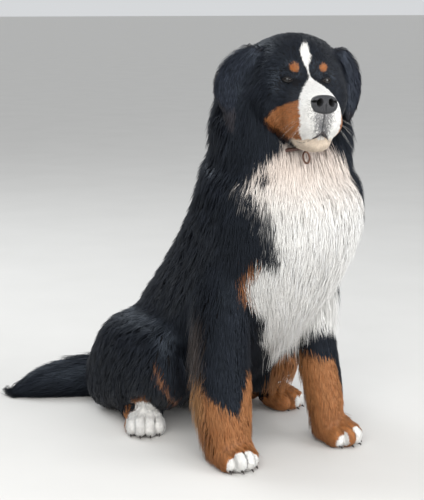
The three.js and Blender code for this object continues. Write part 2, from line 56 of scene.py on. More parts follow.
camera_data = bpy.data.cameras.new("camera")
camera_data.sensor_width = 36.0
camera_data.lens = CAMERA_LENS
camera = bpy.data.objects.new("camera", camera_data)
camera.location = placed(CAMERA_AT)
camera.rotation_euler = Euler(np.radians([CAMERA_PITCH, 0.0, CAMERA_YAW]))
bpy.context.scene.collection.objects.link(camera)
bpy.context.scene.camera = camera


def soft_light(name, at, target, size, power, tint):
    """A square area light at a point, turned to face a target."""
    data = bpy.data.lights.new(name, "AREA")
    data.shape = "SQUARE"
    data.size = size
    data.energy = power
    data.color = tint
    light = bpy.data.objects.new(name, data)
    light.location = at
    light.rotation_euler = (Vector(target) - Vector(at)).to_track_quat("-Z", "Y").to_euler()
    bpy.context.scene.collection.objects.link(light)


# Each light's name, place, target, width, power and tint.
soft_light("key_light", (-1.9, -2.7, 2.7), (0, 0, 0.5), 2.8, 125, (1.0, 0.985, 0.96))
soft_light("fill_light", (1.8, -3.1, 1.3), (0, 0, 0.4), 2.8, 105, (0.98, 0.985, 1.0))
soft_light("rim_light", (-1.2, 2.6, 3.0), (0, 0, 0.5), 2.2, 70, (0.93, 0.97, 1.0))
world = bpy.data.worlds.new("studio")
world.use_nodes = True
world.node_tree.nodes["Background"].inputs["Color"].default_value = (0.86, 0.88, 0.9, 1)
world.node_tree.nodes["Background"].inputs["Strength"].default_value = 0.78
bpy.context.scene.view_settings.view_transform = "Standard"
bpy.context.scene.world = world


class Value:
    """A number socket of a material's node tree, which adds Math nodes when Python operators act on it."""

    def __init__(self, finish, socket):
        self.finish = finish
        self.socket = socket

    def combined(self, operation, *others):
        """One Math node on sockets and numbers."""
        return self.finish.node("ShaderNodeMath", {"operation": operation}, list(others)).value(0)

    def __add__(self, other):
        return self.combined("ADD", self, other)

    __radd__ = __add__

    def __sub__(self, other):
        return self.combined("SUBTRACT", self, other)

    def __rsub__(self, other):
        return self.combined("SUBTRACT", other, self)

    def __mul__(self, other):
        return self.combined("MULTIPLY", self, other)

    __rmul__ = __mul__


class Placed:
    """A node that is in place, whose outputs are taken by name or number."""

    def __init__(self, finish, node):
        self.finish = finish
        self.node = node

    def value(self, output):
        """One of the outputs, ready for sums."""
        return Value(self.finish, self.node.outputs[output])


class Finish:
    """A material on one Principled shader."""

    def __init__(self, name, **settings):
        self.material = bpy.data.materials.new(name)
        self.material.use_nodes = True
        self.tree = self.material.node_tree
        self.shader = self.tree.nodes["Principled BSDF"]
        for socket, value in settings.items():
            self.set(socket.replace("_", " "), value)

    def set(self, socket, value):
        """Gives one of the shader's sockets a constant or a link."""
        self.feed(self.shader.inputs[socket], value)

    def feed(self, socket, value):
        """Links a value to a socket, or gives the socket a colour or a number."""
        if isinstance(value, Value):
            self.tree.links.new(value.socket, socket)
        elif isinstance(value, tuple) and len(value) == 3 and socket.type == "RGBA":
            socket.default_value = (*value, 1.0)
        else:
            socket.default_value = value

    def node(self, kind, settings=None, inputs=None):
        """Any node: its type, its settings, and the values or links of its sockets by number or name."""
        made = self.tree.nodes.new(kind)
        for key, value in (settings or {}).items():
            if key == "stops":
                ramp = made.color_ramp
                while len(ramp.elements) < len(value):
                    ramp.elements.new(0.5)
                for element, (place, colour) in zip(ramp.elements, value):
                    element.position = place
                    element.color = (*colour, 1.0)
            else:
                setattr(made, key, value)
        pairs = enumerate(inputs) if isinstance(inputs, list) else (inputs or {}).items()
        for key, value in pairs:
            self.feed(made.inputs[key], value)
        return Placed(self, made)

    def mixed(self, share, first, second):
        """The first colour plus share times the way to the second."""
        inputs = {0: share, 6: first, 7: second}
        return self.node("ShaderNodeMix", {"data_type": "RGBA"}, inputs).value(2)

    def two_tone(self, share, first, second):
        """Lets the base colour go from the first colour to the second by a share that varies."""
        self.set("Base Color", self.mixed(share, first, second))

    def noise(self, scale, detail=3.0, roughness=0.55):
        """Smooth noise in the object's own metres, with so many waves to the metre as the scale says."""
        place = self.node("ShaderNodeTexCoord").value("Object")
        inputs = {"Vector": place, "Scale": scale, "Detail": detail, "Roughness": roughness}
        return self.node("ShaderNodeTexNoise", {}, inputs).value(0)

    def bump(self, height, distance, strength):
        """Fine relief from a height, which stands out by the distance in metres."""
        inputs = {"Height": height, "Distance": distance, "Strength": strength}
        self.set("Normal", self.node("ShaderNodeBump", {}, inputs).value(0))


def mesh_object(name, points, faces, finish):
    """A new object whose place is in its mesh, from points in metres and lists of corners."""
    mesh = bpy.data.meshes.new(name)
    mesh.from_pydata(np.asarray(points, float), [], faces if isinstance(faces, list) else faces.tolist())
    mesh.shade_smooth()
    mesh.materials.append(finish.material)
    made = bpy.data.objects.new(name, mesh)
    bpy.context.scene.collection.objects.link(made)
    return made


paving = Finish("pale_floor", Roughness=0.85)
paving.two_tone(paving.noise(3.0), (0.60, 0.59, 0.57), (0.66, 0.65, 0.63))
FLOOR_HALF = 150.0
floor_corners = [(x * FLOOR_HALF, y * FLOOR_HALF, 0) for x, y in ((-1, -1), (1, -1), (1, 1), (-1, 1))]
floor = mesh_object("floor", floor_corners, [[0, 1, 2, 3]], paving)

# Hide.
# One skin over the whole dog, under the coat: trunk, neck, head, ears, legs, paws and tail. Each form
# is carried along a smooth curve from the solids' own named sizes, less the depth of the coat, and the
# forms are fused, then smoothed, so that no seam shows where they meet.


def unit(vectors):
    """Each vector divided by its own length."""
    return vectors / np.maximum(np.linalg.norm(vectors, axis=-1, keepdims=True), 1e-9)


def through(points, at):
    """Points of a smooth curve through points, where at runs from 0 at the first to 1 at the last. Between
    two points it is the cubic whose end slopes come from the neighbours, each weighed by the square root
    of the distance between them."""
    ends = (2 * points[0] - points[1], 2 * points[-1] - points[-2])
    row = np.vstack([ends[0], points, ends[1]])
    place = np.clip(at, 0, 1) * (len(points) - 1)
    k = np.minimum(place.astype(int), len(points) - 2)
    share = (place - k)[:, None]
    a, b, c, d = row[k], row[k + 1], row[k + 2], row[k + 3]
    gaps = (b - a, c - b, d - c)
    ab, bc, cd = (np.maximum(np.linalg.norm(gap, axis=1), 1e-4)[:, None] ** 0.5 for gap in gaps)
    leave = ((b - a) / ab - (c - a) / (ab + bc) + (c - b) / bc) * bc
    arrive = ((c - b) / bc - (d - b) / (bc + cd) + (d - c) / cd) * bc
    square = 3 * (c - b) - 2 * leave - arrive
    cube = 2 * (b - c) + leave + arrive
    return b + leave * share + square * share**2 + cube * share**3


def smooth(low, high, value):
    """Rises from 0 at low to 1 at high, with no slope at either end; low may be the larger."""
    share = np.clip((value - low) / (high - low), 0, 1)
    return share * share * (3 - 2 * share)


class Form:
    """A body form with rounded sections along a smooth curve. A station holds x, y, z of its centre, its
    half width, and its half depth on the fore side, which is across x along, and on the aft side."""

    def __init__(self, stations, side=(1, 0, 0), square=2.0, facing=None):
        self.stations = np.array(stations, float)
        self.side = np.array(side, float)
        self.square = square
        self.facing = facing
        line = through(self.stations[:, :3], np.linspace(0, 1, 200))
        self.length = np.linalg.norm(np.diff(line, axis=0), axis=1).sum()

    def frame(self, t):
        """Centre, across, deep and along at each t, and the half sizes there."""
        inside = np.clip(t, 0, 1)
        centres = self.stations[:, :3]
        centre = through(centres, inside)
        if self.facing is None:
            after, before = np.minimum(inside + 1e-3, 1), np.maximum(inside - 1e-3, 0)
            along = unit(through(centres, after) - through(centres, before))
        else:
            along = np.tile(np.array(self.facing, float), (len(inside), 1))
        across = unit(self.side - (along @ self.side)[:, None] * along)
        deep = np.cross(across, along)
        centre = centre + ((t - inside) * self.length)[:, None] * along
        return centre, across, deep, along, through(self.stations[:, 3:6], inside)

    def point(self, t, angle, grow=0.0, shrink=1.0):
        """A point of the surface. Its section is a rounded oval, |x/a|^n + |y/b|^n = 1."""
        centre, across, deep, _, size = self.frame(t)
        c, s = np.cos(angle), np.sin(angle)
        x = np.sign(c) * np.abs(c) ** (2 / self.square)
        y = np.sign(s) * np.abs(s) ** (2 / self.square)
        half_depth = np.where(y > 0, size[:, 1], size[:, 2]) + grow
        wide = x * (size[:, 0] + grow) * shrink
        return centre + wide[:, None] * across + (y * half_depth * shrink)[:, None] * deep

    def nearest(self, points, stations=41, reach=0.12):
        """For each point, the t of the closest section, the angle round it, and how far out it lies. The
        closest has the least of 2 * the distance along the form + 0.15 * the whole distance. How far out
        is sqrt(across^2 + deep^2 + along^2), each as a share of the section's half size, so that 1 is
        the surface. The sections go on past both ends by the reach."""
        ts = np.linspace(-reach, 1 + reach, stations)
        centre, across, deep, along, size = self.frame(ts)
        gap = points[:, None, :] - centre[None, :, :]
        off = np.abs(np.einsum("nsk,sk->ns", gap, along)) * 2.0 + np.linalg.norm(gap, axis=2) * 0.15
        k = np.argmin(off, axis=1)
        rows = np.arange(len(points))
        local = gap[rows, k]
        x, y, z = (np.einsum("nk,nk->n", local, axis[k]) for axis in (across, deep, along))
        aside = x / size[k, 0]
        ahead = y / np.where(y > 0, size[k, 1], size[k, 2])
        beyond = z / (size[k, 0] * 0.5)
        return ts[k], np.arctan2(ahead, aside), np.sqrt(aside**2 + ahead**2 + beyond**2)


def tube(form, sides=48, rings=40, grow=0.0, dome=(0.0, 0.0), dome_rings=8):
    """The closed surface of a form, in rings, with a round dome of the given length at each end. A dome's
    rings go up a quarter circle, from 0.12 to 1.52 radians: each reaches the sine times the dome's length,
    and shrinks to the cosine."""
    slices = [(t, 1.0) for t in np.linspace(0, 1, rings + 1)]
    for part in np.linspace(0.12, 1.52, dome_rings):
        slices.insert(0, (-np.sin(part) * dome[0] / form.length, np.cos(part)))
        slices.append((1 + np.sin(part) * dome[1] / form.length, np.cos(part)))
    t, shrink = (np.repeat([s[i] for s in slices], sides) for i in (0, 1))
    angle = np.tile(np.arange(sides) * 2 * np.pi / sides, len(slices))
    points = form.point(t, angle, grow, shrink)
    ends = form.frame(np.array([-dome[0] / form.length, 1 + dome[1] / form.length]))[0]
    return np.vstack([points, ends]), ring_faces(len(slices), sides)


def ring_faces(rings, sides):
    """Four-sided faces between rings of points, and a fan at each end to a pole. The poles are the last
    two points."""
    k, j = np.meshgrid(np.arange(rings - 1), np.arange(sides), indexing="ij")
    n = (j + 1) % sides
    here, above = k * sides, k * sides + sides
    quads = np.stack([here + j, above + j, above + n, here + n], -1).reshape(-1, 4)
    j = np.arange(sides)
    n = (j + 1) % sides
    start, last = rings * sides, (rings - 1) * sides
    fans = np.vstack([
        np.stack([np.full(sides, start), j, n], -1),
        np.stack([np.full(sides, start + 1), last + n, last + j], -1),
    ])
    return quads.tolist() + fans.tolist()


def ball(at, size, sides=32, rings=20):
    """A sphere stretched to three half sizes, in rings round the upright axis."""
    high = np.linspace(0, np.pi, rings + 2)[1:-1]
    up, angle = np.meshgrid(high, np.arange(sides) * 2 * np.pi / sides, indexing="ij")
    wide = np.sin(up)
    x, y, z = wide * np.cos(angle) * size[0], wide * np.sin(angle) * size[1], np.cos(up) * size[2]
    poles = [[0, 0, size[2]], [0, 0, -size[2]]]
    points = np.vstack([np.stack([x, y, z], -1).reshape(-1, 3), poles])
    return points + np.array(at, float), ring_faces(rings, sides)


def mirrored(stations, way):
    """The stations on the dog's left for way 1, and on its right for -1."""
    flipped = np.array(stations, float)
    flipped[:, 0] *= way
    return flipped


HEAD_AT = np.array([-21.0, -60.0, 842.0])
HEAD_TURNS = {"nod": 1.0, "tilt": 2.0, "turn": -18.0}
nod, tilt, turn = (np.radians(HEAD_TURNS[k]) for k in ("nod", "tilt", "turn"))
about_x = np.array([[1, 0, 0], [0, np.cos(nod), -np.sin(nod)], [0, np.sin(nod), np.cos(nod)]])
about_y = np.array([[np.cos(tilt), 0, np.sin(tilt)], [0, 1, 0], [-np.sin(tilt), 0, np.cos(tilt)]])
about_z = np.array([[np.cos(turn), -np.sin(turn), 0], [np.sin(turn), np.cos(turn), 0], [0, 0, 1]])
HEAD_AXES = about_z @ about_x @ about_y


def from_head(points):
    """Points of the head's own frame, which sits midway between the eyes, in the dog's frame."""
    return np.asarray(points, float) @ HEAD_AXES.T + HEAD_AT


def to_head(points):
    """Points of the dog's frame in the head's own frame."""
    return (np.asarray(points, float) - HEAD_AT) @ HEAD_AXES


TRUNK = Form([
    (8, 505, 105, 160, 92, 104),
    (8, 430, 165, 190, 140, 154),
    (8, 330, 265, 190, 168, 160),
    (8, 240, 355, 188, 192, 164),
    (12, 155, 450, 194, 205, 170),
    (15, 92, 540, 197, 202, 172),
    (12, 66, 620, 187, 186, 168),
])
NECK = Form([
    (10, 74, 600, 176, 176, 156),
    (10, 62, 680, 170, 150, 152),
    (0, 52, 750, 165, 118, 142),
    (-12, 44, 820, 146, 90, 120),
])
PROFILE = [
    # how far back, top, underside, half width
    (140, 58, -84, 90),
    (100, 84, -106, 104),
    (60, 91, -118, 106),
    (20, 76, -124, 96),
    (0, 48, -126, 82),
    (-18, 16, -127, 68),
    (-36, 1, -126, 58),
    (-66, -8, -124, 52),
    (-94, -14, -119, 46),
    (-112, -20, -106, 38),
]


def skull_station(y, top, under, wide):
    """A section of the skull that reaches from the underside to the top."""
    half_height = (top - under) / 2
    return 0, y, (top + under) / 2, wide, half_height, half_height


SKULL = Form([skull_station(*row) for row in PROFILE], square=2.2, facing=(0, -1, 0))
JAW = Form([
    (0, 10, -106, 52, 24, 24),
    (0, -30, -114, 44, 22, 22),
    (0, -66, -119, 37, 21, 21),
    (0, -90, -120, 30, 19, 19),
])
EAR_LINE = [
    # the middle line's x, y and z, half width, half thickness
    (94, 56, 54, 20, 13),
    (105, 60, 40, 26, 13),
    (120, 66, 18, 36, 12),
    (132, 70, -12, 43, 11),
    (133, 69, -36, 40, 10),
    (131, 65, -62, 26, 9),
    (129, 61, -78, 12, 7),
]
EAR_SWING = {1: 0.86, -1: 1.0}


def ear_form(way):
    """The ear flap on one side: its middle line swings out from the root, less on the dog's left."""
    swing = EAR_SWING[way]
    root = EAR_LINE[0][0]
    rows = [(way * (root + (x - root) * swing), y, z, w * swing, d, d) for x, y, z, w, d in EAR_LINE]
    return Form(rows, side=(0.85, way * 0.52, way * -0.12))


EARS = {way: ear_form(way) for way in (1, -1)}
PAWS = {
    "forepaw_right": ((-131, 28), -4),
    "forepaw_left": ((158, 26), 8),
    "hindpaw_right": ((-181, 330), -30),
    "hindpaw_left": ((202, 308), 24),
}
FORELEG = [
    (142, 40, 44, 50, 38, 66),
    (144, 48, 100, 60, 44, 82),
    (141, 58, 170, 66, 46, 84),
    (134, 70, 260, 60, 54, 88),
    (124, 84, 350, 60, 72, 84),
    (108, 104, 440, 50, 70, 70),
]
SLIMMER = {"wide": 0.66, "fore": 0.82, "aft": 0.5, "inward": 18.0}


def foreleg_form(way):
    """A foreleg whose lower end is drawn to its own paw, by a share that falls to nothing over the first
    four stations. The dog's left one is the slimmer of the two, but not at the shoulder."""
    (paw_x, paw_y), _ = PAWS["forepaw_left" if way > 0 else "forepaw_right"]
    rows = mirrored(FORELEG, way)
    k = np.arange(len(rows))
    share = np.maximum(0, 1 - k / 4)
    slim = np.clip((5 - k) / 2, 0, 1) if way > 0 else np.zeros(len(rows))
    rows[:, 0] += (paw_x - rows[0, 0]) * share - SLIMMER["inward"] * slim
    rows[:, 1] += (paw_y + 14 - rows[0, 1]) * share
    for column, name in ((3, "wide"), (4, "fore"), (5, "aft")):
        rows[:, column] *= 1 + (SLIMMER[name] - 1) * slim
    return Form(rows)


FORELEGS = {way: foreleg_form(way) for way in (1, -1)}
HAUNCH = [
    (118, 528, 70, 112, 84, 112),
    (138, 430, 140, 106, 140, 144),
    (148, 340, 180, 98, 150, 124),
    (154, 262, 205, 78, 120, 92),
]
HAUNCHES = {way: Form(mirrored(HAUNCH, way), square=2.3) for way in (1, -1)}
HIND_FOOT = [
    (128, 480, 40, 36, 34, 40),
    (150, 430, 38, 36, 34, 38),
    (170, 380, 36, 38, 32, 36),
]
HIND_FEET = {way: Form(mirrored(HIND_FOOT, way)) for way in (1, -1)}
TAIL = Form(
    [
        (-10, 560, 78, 56, 46, 100),
        (-60, 622, 60, 62, 56, 84),
        (-150, 676, 46, 60, 64, 70),
        (-250, 722, 32, 48, 54, 54),
        (-318, 750, 14, 27, 26, 36),
    ],
    side=(-0.5, 0.87, 0),
)
TOES = [
    # x, y, half length, half width, half height
    (-33, -17, 30, 15, 24),
    (-12, -30, 34, 16, 29),
    (12, -30, 34, 16, 29),
    (33, -17, 30, 15, 24),
]
TOE_GAPS = [(toe[0] + neighbour[0]) / 2 for toe, neighbour in zip(TOES[:-1], TOES[1:])]
PAD = {"at": (0, 8, 28), "size": (46, 52, 34)}
SKIN_UNDER_COAT = {
    "trunk": 22,
    "neck": 26,
    "haunch": 22,
    "tail": 24,
    "foot": 6,
    "skull": 5,
    "jaw": 5,
    "ear": 2.5,
}


def turned(points, degrees):
    """Points turned about the upright axis."""
    c, s = np.cos(np.radians(degrees)), np.sin(np.radians(degrees))
    return np.asarray(points, float) @ np.array([[c, s, 0], [-s, c, 0], [0, 0, 1]])


def from_paw(name, points):
    """Points of a paw's own frame, where the toes point to -Y, in the dog's frame."""
    (x, y), turn_of_paw = PAWS[name]
    return turned(points, turn_of_paw) + np.array([x, y, 0.0])


def to_paw(name, points):
    """Points of the dog's frame in a paw's own frame."""
    (x, y), turn_of_paw = PAWS[name]
    return turned(points - np.array([x, y, 0.0]), -turn_of_paw)


def leg_under_hair(way):
    """The foreleg without its coat, as shares of its half width and half depths: thinner all round, and
    most of all behind, where the feather grows."""
    bare = Form(FORELEGS[way].stations)
    bare.stations[:, 3:6] *= (0.78, 0.8, 0.6) if way < 0 else (0.85, 0.86, 0.76)
    return bare


flesh = [
    tube(TRUNK, grow=-SKIN_UNDER_COAT["trunk"], dome=(70, 50)),
    tube(NECK, grow=-SKIN_UNDER_COAT["neck"], dome=(30, 40)),
    tube(TAIL, grow=-SKIN_UNDER_COAT["tail"], dome=(20, 8)),
]
for way in (1, -1):
    flesh.append(tube(leg_under_hair(way), dome=(10, 30)))
    flesh.append(tube(HAUNCHES[way], grow=-SKIN_UNDER_COAT["haunch"], dome=(60, 40)))
    flesh.append(tube(HIND_FEET[way], grow=-SKIN_UNDER_COAT["foot"], dome=(16, 14)))
inset = SKIN_UNDER_COAT["foot"] * 0.6
for name in PAWS:
    points, faces = ball(PAD["at"], np.array(PAD["size"]) - inset)
    flesh.append((from_paw(name, points), faces))
    for x, y, long, wide, high in TOES:
        points, faces = ball((x, y, high * 0.86), np.array([wide, long, high]) - inset * 0.7)
        flesh.append((from_paw(name, points), faces))
skull_skin, skull_faces = tube(SKULL, sides=64, rings=60, grow=-SKIN_UNDER_COAT["skull"], dome=(34, 8))
flesh.append((from_head(skull_skin), skull_faces))
jaw_skin, jaw_faces = tube(JAW, grow=-SKIN_UNDER_COAT["jaw"], dome=(12, 12))
flesh.append((from_head(jaw_skin), jaw_faces))
for way in (1, -1):
    ear_skin, ear_faces = tube(EARS[way], grow=-SKIN_UNDER_COAT["ear"], dome=(10, 10))
    flesh.append((from_head(ear_skin), ear_faces))


def fused_skin(pieces, cell):
    """One closed mesh round all the pieces, cut into even cells of the given size in metres."""
    points, faces, count = [], [], 0
    for piece_points, piece_faces in pieces:
        points.append(piece_points)
        faces += [[corner + count for corner in face] for face in piece_faces]
        count += len(piece_points)
    mesh = bpy.data.meshes.new("flesh")
    mesh.from_pydata(placed(np.vstack(points)), [], faces)
    holder = bpy.data.objects.new("flesh", mesh)
    bpy.context.scene.collection.objects.link(holder)
    remesh = holder.modifiers.new("cells", "REMESH")
    remesh.mode = "VOXEL"
    remesh.voxel_size = cell
    graph = bpy.context.evaluated_depsgraph_get()
    made = bpy.data.meshes.new_from_object(holder.evaluated_get(graph))
    bpy.data.objects.remove(holder)
    bpy.data.meshes.remove(mesh)
    return made


def points_of(mesh):
    """All points of a mesh, in metres."""
    co = np.empty(len(mesh.vertices) * 3, np.float32)
    mesh.vertices.foreach_get("co", co)
    return co.reshape(-1, 3).astype(float)


def in_millimetres(mesh):
    """All points of a mesh, in the dog's own millimetres."""
    return points_of(mesh) * 1000 - CENTRED


def set_points(mesh, points):
    """Moves all points of a mesh, given in metres."""
    mesh.vertices.foreach_set("co", points.astype(np.float32).ravel())
    mesh.update()


def relaxed(mesh, times, amount, mask=None):
    """Moves each point towards the mean of its neighbours by the amount, as many times as asked."""
    pairs = np.empty(len(mesh.edges) * 2, np.int32)
    mesh.edges.foreach_get("vertices", pairs)
    a, b = pairs.reshape(-1, 2).T
    points = points_of(mesh)
    count = np.bincount(a, minlength=len(points)) + np.bincount(b, minlength=len(points))
    weight = amount if mask is None else (amount * mask)[:, None]
    for _ in range(times):
        total = [
            np.bincount(a, axis[b], len(points)) + np.bincount(b, axis[a], len(points))
            for axis in points.T
        ]
        points += (np.stack(total, -1) / np.maximum(count, 1)[:, None] - points) * weight
    set_points(mesh, points)


def finer(mesh, chosen):
    """Cuts a face in four where a test on points in the dog's millimetres holds for all its corners."""
    flags = chosen(in_millimetres(mesh))
    work = bmesh.new()
    work.from_mesh(mesh)
    work.verts.ensure_lookup_table()
    edges = [e for e in work.edges if flags[e.verts[0].index] and flags[e.verts[1].index]]
    bmesh.ops.subdivide_edges(work, edges=edges, cuts=1, use_grid_fill=True)
    work.to_mesh(mesh)
    work.free()


EYE = {"at": (39.0, -3.0, 0.0), "radius": 13.0, "turn": 16.0}


def eye_middle(way):
    """The middle of one eyeball, in the head's frame."""
    return np.array([way * EYE["at"][0], *EYE["at"][1:]])


def eye_gap(head_points):
    """How far each point of the head's frame lies from the middle of the nearer eye."""
    return np.minimum(*[np.linalg.norm(head_points - eye_middle(way), axis=1) for way in (1, -1)])


def on_face(points):
    """Whether each point lies on the fore part of the head, above the throat."""
    x, y, z = to_head(points).T
    return (y < 40) & (z > -150) & (np.abs(x) < 90)


def on_muzzle_or_lids(points):
    """Whether each point lies on the fore half of the muzzle, or close round an eye."""
    head = to_head(points)
    return (head[:, 1] < -60) | (eye_gap(head) < 34)


def near_paws(points):
    """Whether each point is low down and near the middle of a paw."""
    gaps = [np.hypot(points[:, 0] - x, points[:, 1] - y) for (x, y), _ in PAWS.values()]
    return (np.minimum.reduce(gaps) < 78) & (points[:, 2] < 76)


# The fused skin is smoothed, cut finer on the face, the muzzle and round the eyes, smoothed again there
# and over the flanks and back, and cut finer on the paws.
SKIN_CELL = 0.0058
skin_mesh = fused_skin(flesh, SKIN_CELL)
relaxed(skin_mesh, 4, 0.5)
finer(skin_mesh, on_face)
finer(skin_mesh, on_muzzle_or_lids)
finer(skin_mesh, lambda points: eye_gap(to_head(points)) < 24)
face_mask = (to_head(in_millimetres(skin_mesh))[:, 1] < 45).astype(float)
relaxed(skin_mesh, 6, 0.5, face_mask)
_, body_y, body_z = in_millimetres(skin_mesh).T
body_mask = smooth(70, 110, body_z) * smooth(700, 640, body_z) * smooth(120, 180, body_y)
relaxed(skin_mesh, 26, 0.5, body_mask)
finer(skin_mesh, near_paws)

FACE_FORMS = [
    # places where bone or muscle lifts the skin, or where it lies deeper
    {"at": (34, 0, 34), "reach": 22, "by": 9},
    {"at": (43, -14, 0), "reach": (20, 16, 15), "by": -9},
    {"at": (66, -4, -28), "reach": 26, "by": 5},
    {"at": (46, -74, -86), "reach": (20, 30, 24), "by": 9},
    {"at": (92, 30, -60), "reach": 45, "by": 10},
    {"at": (0, -4, 42), "reach": (10, 26, 30), "by": -5},
    {"at": (0, -118, -92), "reach": (7, 14, 18), "by": -6},
]
FULLER_MUZZLE = 3.0
EYE_OPENING = {"half_width": 9.2, "upper": 4.1, "lower": 3.4, "slant": 0.08}
LID_THICK = 2.3
UPPER_CREASE = {"deep": 1.3, "from_edge": 4.6, "reach": 1.5}
LOWER_CREASE = {"deep": 0.8, "from_edge": 4.2, "reach": 1.4}
LIP_GROOVE = {"by": -4.0, "reach": 2.6}
LIP_SWELL = {"by": 1.8, "reach": 5.0}
CLEFT = {"by": -1.6, "reach": 1.8}
NOSE_BED = {"half_width": 24, "half_height": 17, "middle": -41, "deep": 16}
MOUTH = [
    # x, y and z from the middle of the lips to one corner
    (0, -114, -97),
    (10, -112, -104),
    (19, -103, -112),
    (28, -92, -118),
    (34, -77, -121),
    (40, -57, -119),
    (46, -36, -112),
    (50, -20, -104),
]


def outward(mesh):
    """The outward direction at each point of a mesh."""
    normals = np.empty(len(mesh.vertices) * 3, np.float32)
    mesh.vertices.foreach_get("normal", normals)
    return normals.reshape(-1, 3).astype(float)


def eye_frame(way):
    """The middle of one eye, and its outer, upward and forward directions in the head's frame."""
    angle = np.radians(EYE["turn"])
    outer = np.array([way * np.cos(angle), np.sin(angle), 0.0])
    ahead = np.array([way * np.sin(angle), -np.cos(angle), 0.0])
    return eye_middle(way), outer, np.array([0, 0, 1.0]), ahead


def lid_gap(way, head_points):
    """How far each point lies outside the almond between the lids, measured on the eyeball, with its
    height there, its distance from the eye's middle and how squarely it faces ahead. Two arcs make the
    almond: height = upper * (1 - (across / half width)^2), and the same below with the lower height."""
    middle, outer, up, ahead = eye_frame(way)
    gap = head_points - middle
    far = np.maximum(np.linalg.norm(gap, axis=1), 1e-3)
    across = gap @ outer / far * EYE["radius"]
    rise = gap @ up / far * EYE["radius"] - EYE_OPENING["slant"] * across
    arch = np.where(rise > 0, EYE_OPENING["upper"], EYE_OPENING["lower"])
    edge = np.abs(rise) - arch * (1 - (across / EYE_OPENING["half_width"]) ** 2)
    return edge, rise, far, gap @ ahead / far


def distance_to(path, points):
    """The distance from each point to the nearest piece of a path."""
    near = np.full(len(points), 1e9)
    for a, b in zip(path[:-1], path[1:]):
        share = np.clip((points - a) @ (b - a) / ((b - a) @ (b - a)), 0, 1)
        near = np.minimum(near, np.linalg.norm(points - a - share[:, None] * (b - a), axis=1))
    return near


def mouth_path(way):
    """Forty points along one half of the lips' line, from the middle to the corner."""
    return through(np.array(MOUTH, float) * (way, 1, 1), np.linspace(0, 1, 40))


def shaped_face(mesh):
    """Pushes the head's skin out or in by each named form, by * exp(-distance^2 / reach^2), and so for
    the lips' groove, the swell above it and the cleft. Then it makes a bed for the nose, and the lids,
    which lie on a ball a lid's thickness larger than the eye. Each lid has a crease, which is
    deep * exp(-((distance from the opening - from edge) / reach)^2). Skin within the opening lies under
    the eyeball's surface."""
    points = in_millimetres(mesh)
    head = to_head(points)
    normals = outward(mesh) @ HEAD_AXES
    in_head = (head[:, 1] < 110) & (head[:, 2] > -150) & (np.abs(head[:, 0]) < 110)
    push = FULLER_MUZZLE * smooth(-20, -50, head[:, 1])
    for form in FACE_FORMS:
        for way in (1, -1) if form["at"][0] else (1,):
            middle = np.array(form["at"], float) * (way, 1, 1)
            push += form["by"] * np.exp(-np.sum(((head - middle) / form["reach"]) ** 2, axis=1))
    for way in (1, -1):
        lips = distance_to(mouth_path(way), head)
        push += LIP_GROOVE["by"] * np.exp(-((lips / LIP_GROOVE["reach"]) ** 2))
        lips_above = distance_to(mouth_path(way) + (0, -1, 6), head)
        push += LIP_SWELL["by"] * np.exp(-((lips_above / LIP_SWELL["reach"]) ** 2))
    cleft = np.exp(-((np.abs(head[:, 0]) / CLEFT["reach"]) ** 2))
    push += CLEFT["by"] * cleft * smooth(-112, -118, head[:, 1]) * smooth(-56, -62, head[:, 2])
    head = head + normals * (push * in_head)[:, None]
    aside = head[:, 0] / NOSE_BED["half_width"]
    above = (head[:, 2] - NOSE_BED["middle"]) / NOSE_BED["half_height"]
    nose_bed = smooth(1.0, 0.7, np.hypot(aside, above)) * (head[:, 1] < -100)
    head[:, 1] += NOSE_BED["deep"] * nose_bed * in_head
    for way in (1, -1):
        edge, rise, far, ahead = lid_gap(way, head)
        near = (ahead > 0.25) & (far < 40) & in_head
        lid = EYE["radius"] + LID_THICK
        off_axis = far * np.sqrt(1 - np.clip(ahead, 0, 1) ** 2)
        blend = np.maximum(smooth(0, 15, edge), smooth(19, 27, off_axis))
        over = lid * (1 - blend) + np.maximum(far, EYE["radius"] + 0.5) * blend
        for crease, side in ((UPPER_CREASE, rise > 0), (LOWER_CREASE, rise <= 0)):
            off = (edge - crease["from_edge"]) / crease["reach"]
            over -= crease["deep"] * np.exp(-(off**2)) * side
        inside = EYE["radius"] - 3.0
        radius = inside + (over - inside) * smooth(-0.9, 0.5, edge)
        middle = eye_middle(way)
        moved = middle + (head - middle) * (radius / np.maximum(far, 1e-3))[:, None]
        head = np.where(near[:, None], moved, head)
    points[in_head] = from_head(head[in_head])
    set_points(mesh, placed(points))


TOE_GROOVE = {"deep": 3.2, "reach": 2.2, "spread": 0.004}


def shaped_toes(mesh):
    """Presses a groove between neighbouring toes, by deep * exp(-(across / reach)^2), on the front of the
    paw. The grooves spread apart a little towards the tips."""
    points = in_millimetres(mesh)
    normals = outward(mesh)
    for name in PAWS:
        own = to_paw(name, points)
        near = smooth(-4, -20, own[:, 1]) * (np.linalg.norm(own[:, :2], axis=1) < 80) * (own[:, 2] < 70)
        for gap in TOE_GAPS:
            middle = gap * (1 + TOE_GROOVE["spread"] * np.abs(own[:, 1]))
            across = (own[:, 0] - middle) / TOE_GROOVE["reach"]
            points -= normals * (TOE_GROOVE["deep"] * near * np.exp(-(across**2)))[:, None]
    set_points(mesh, placed(points))


SOLES = {"below": 0.016, "squeezed_to": 0.0157}


def flat_soles(mesh):
    """Squeezes all that lies below 16 mm, so that the lowest point stands 0.3 mm above the floor."""
    points = points_of(mesh)
    drop = SOLES["below"] - points[:, 2]
    squeezed = SOLES["below"] - drop * SOLES["squeezed_to"] / drop.max()
    points[:, 2] = np.where(points[:, 2] < SOLES["below"], squeezed, points[:, 2])
    set_points(mesh, points)


shaped_face(skin_mesh)
shaped_toes(skin_mesh)
flat_soles(skin_mesh)

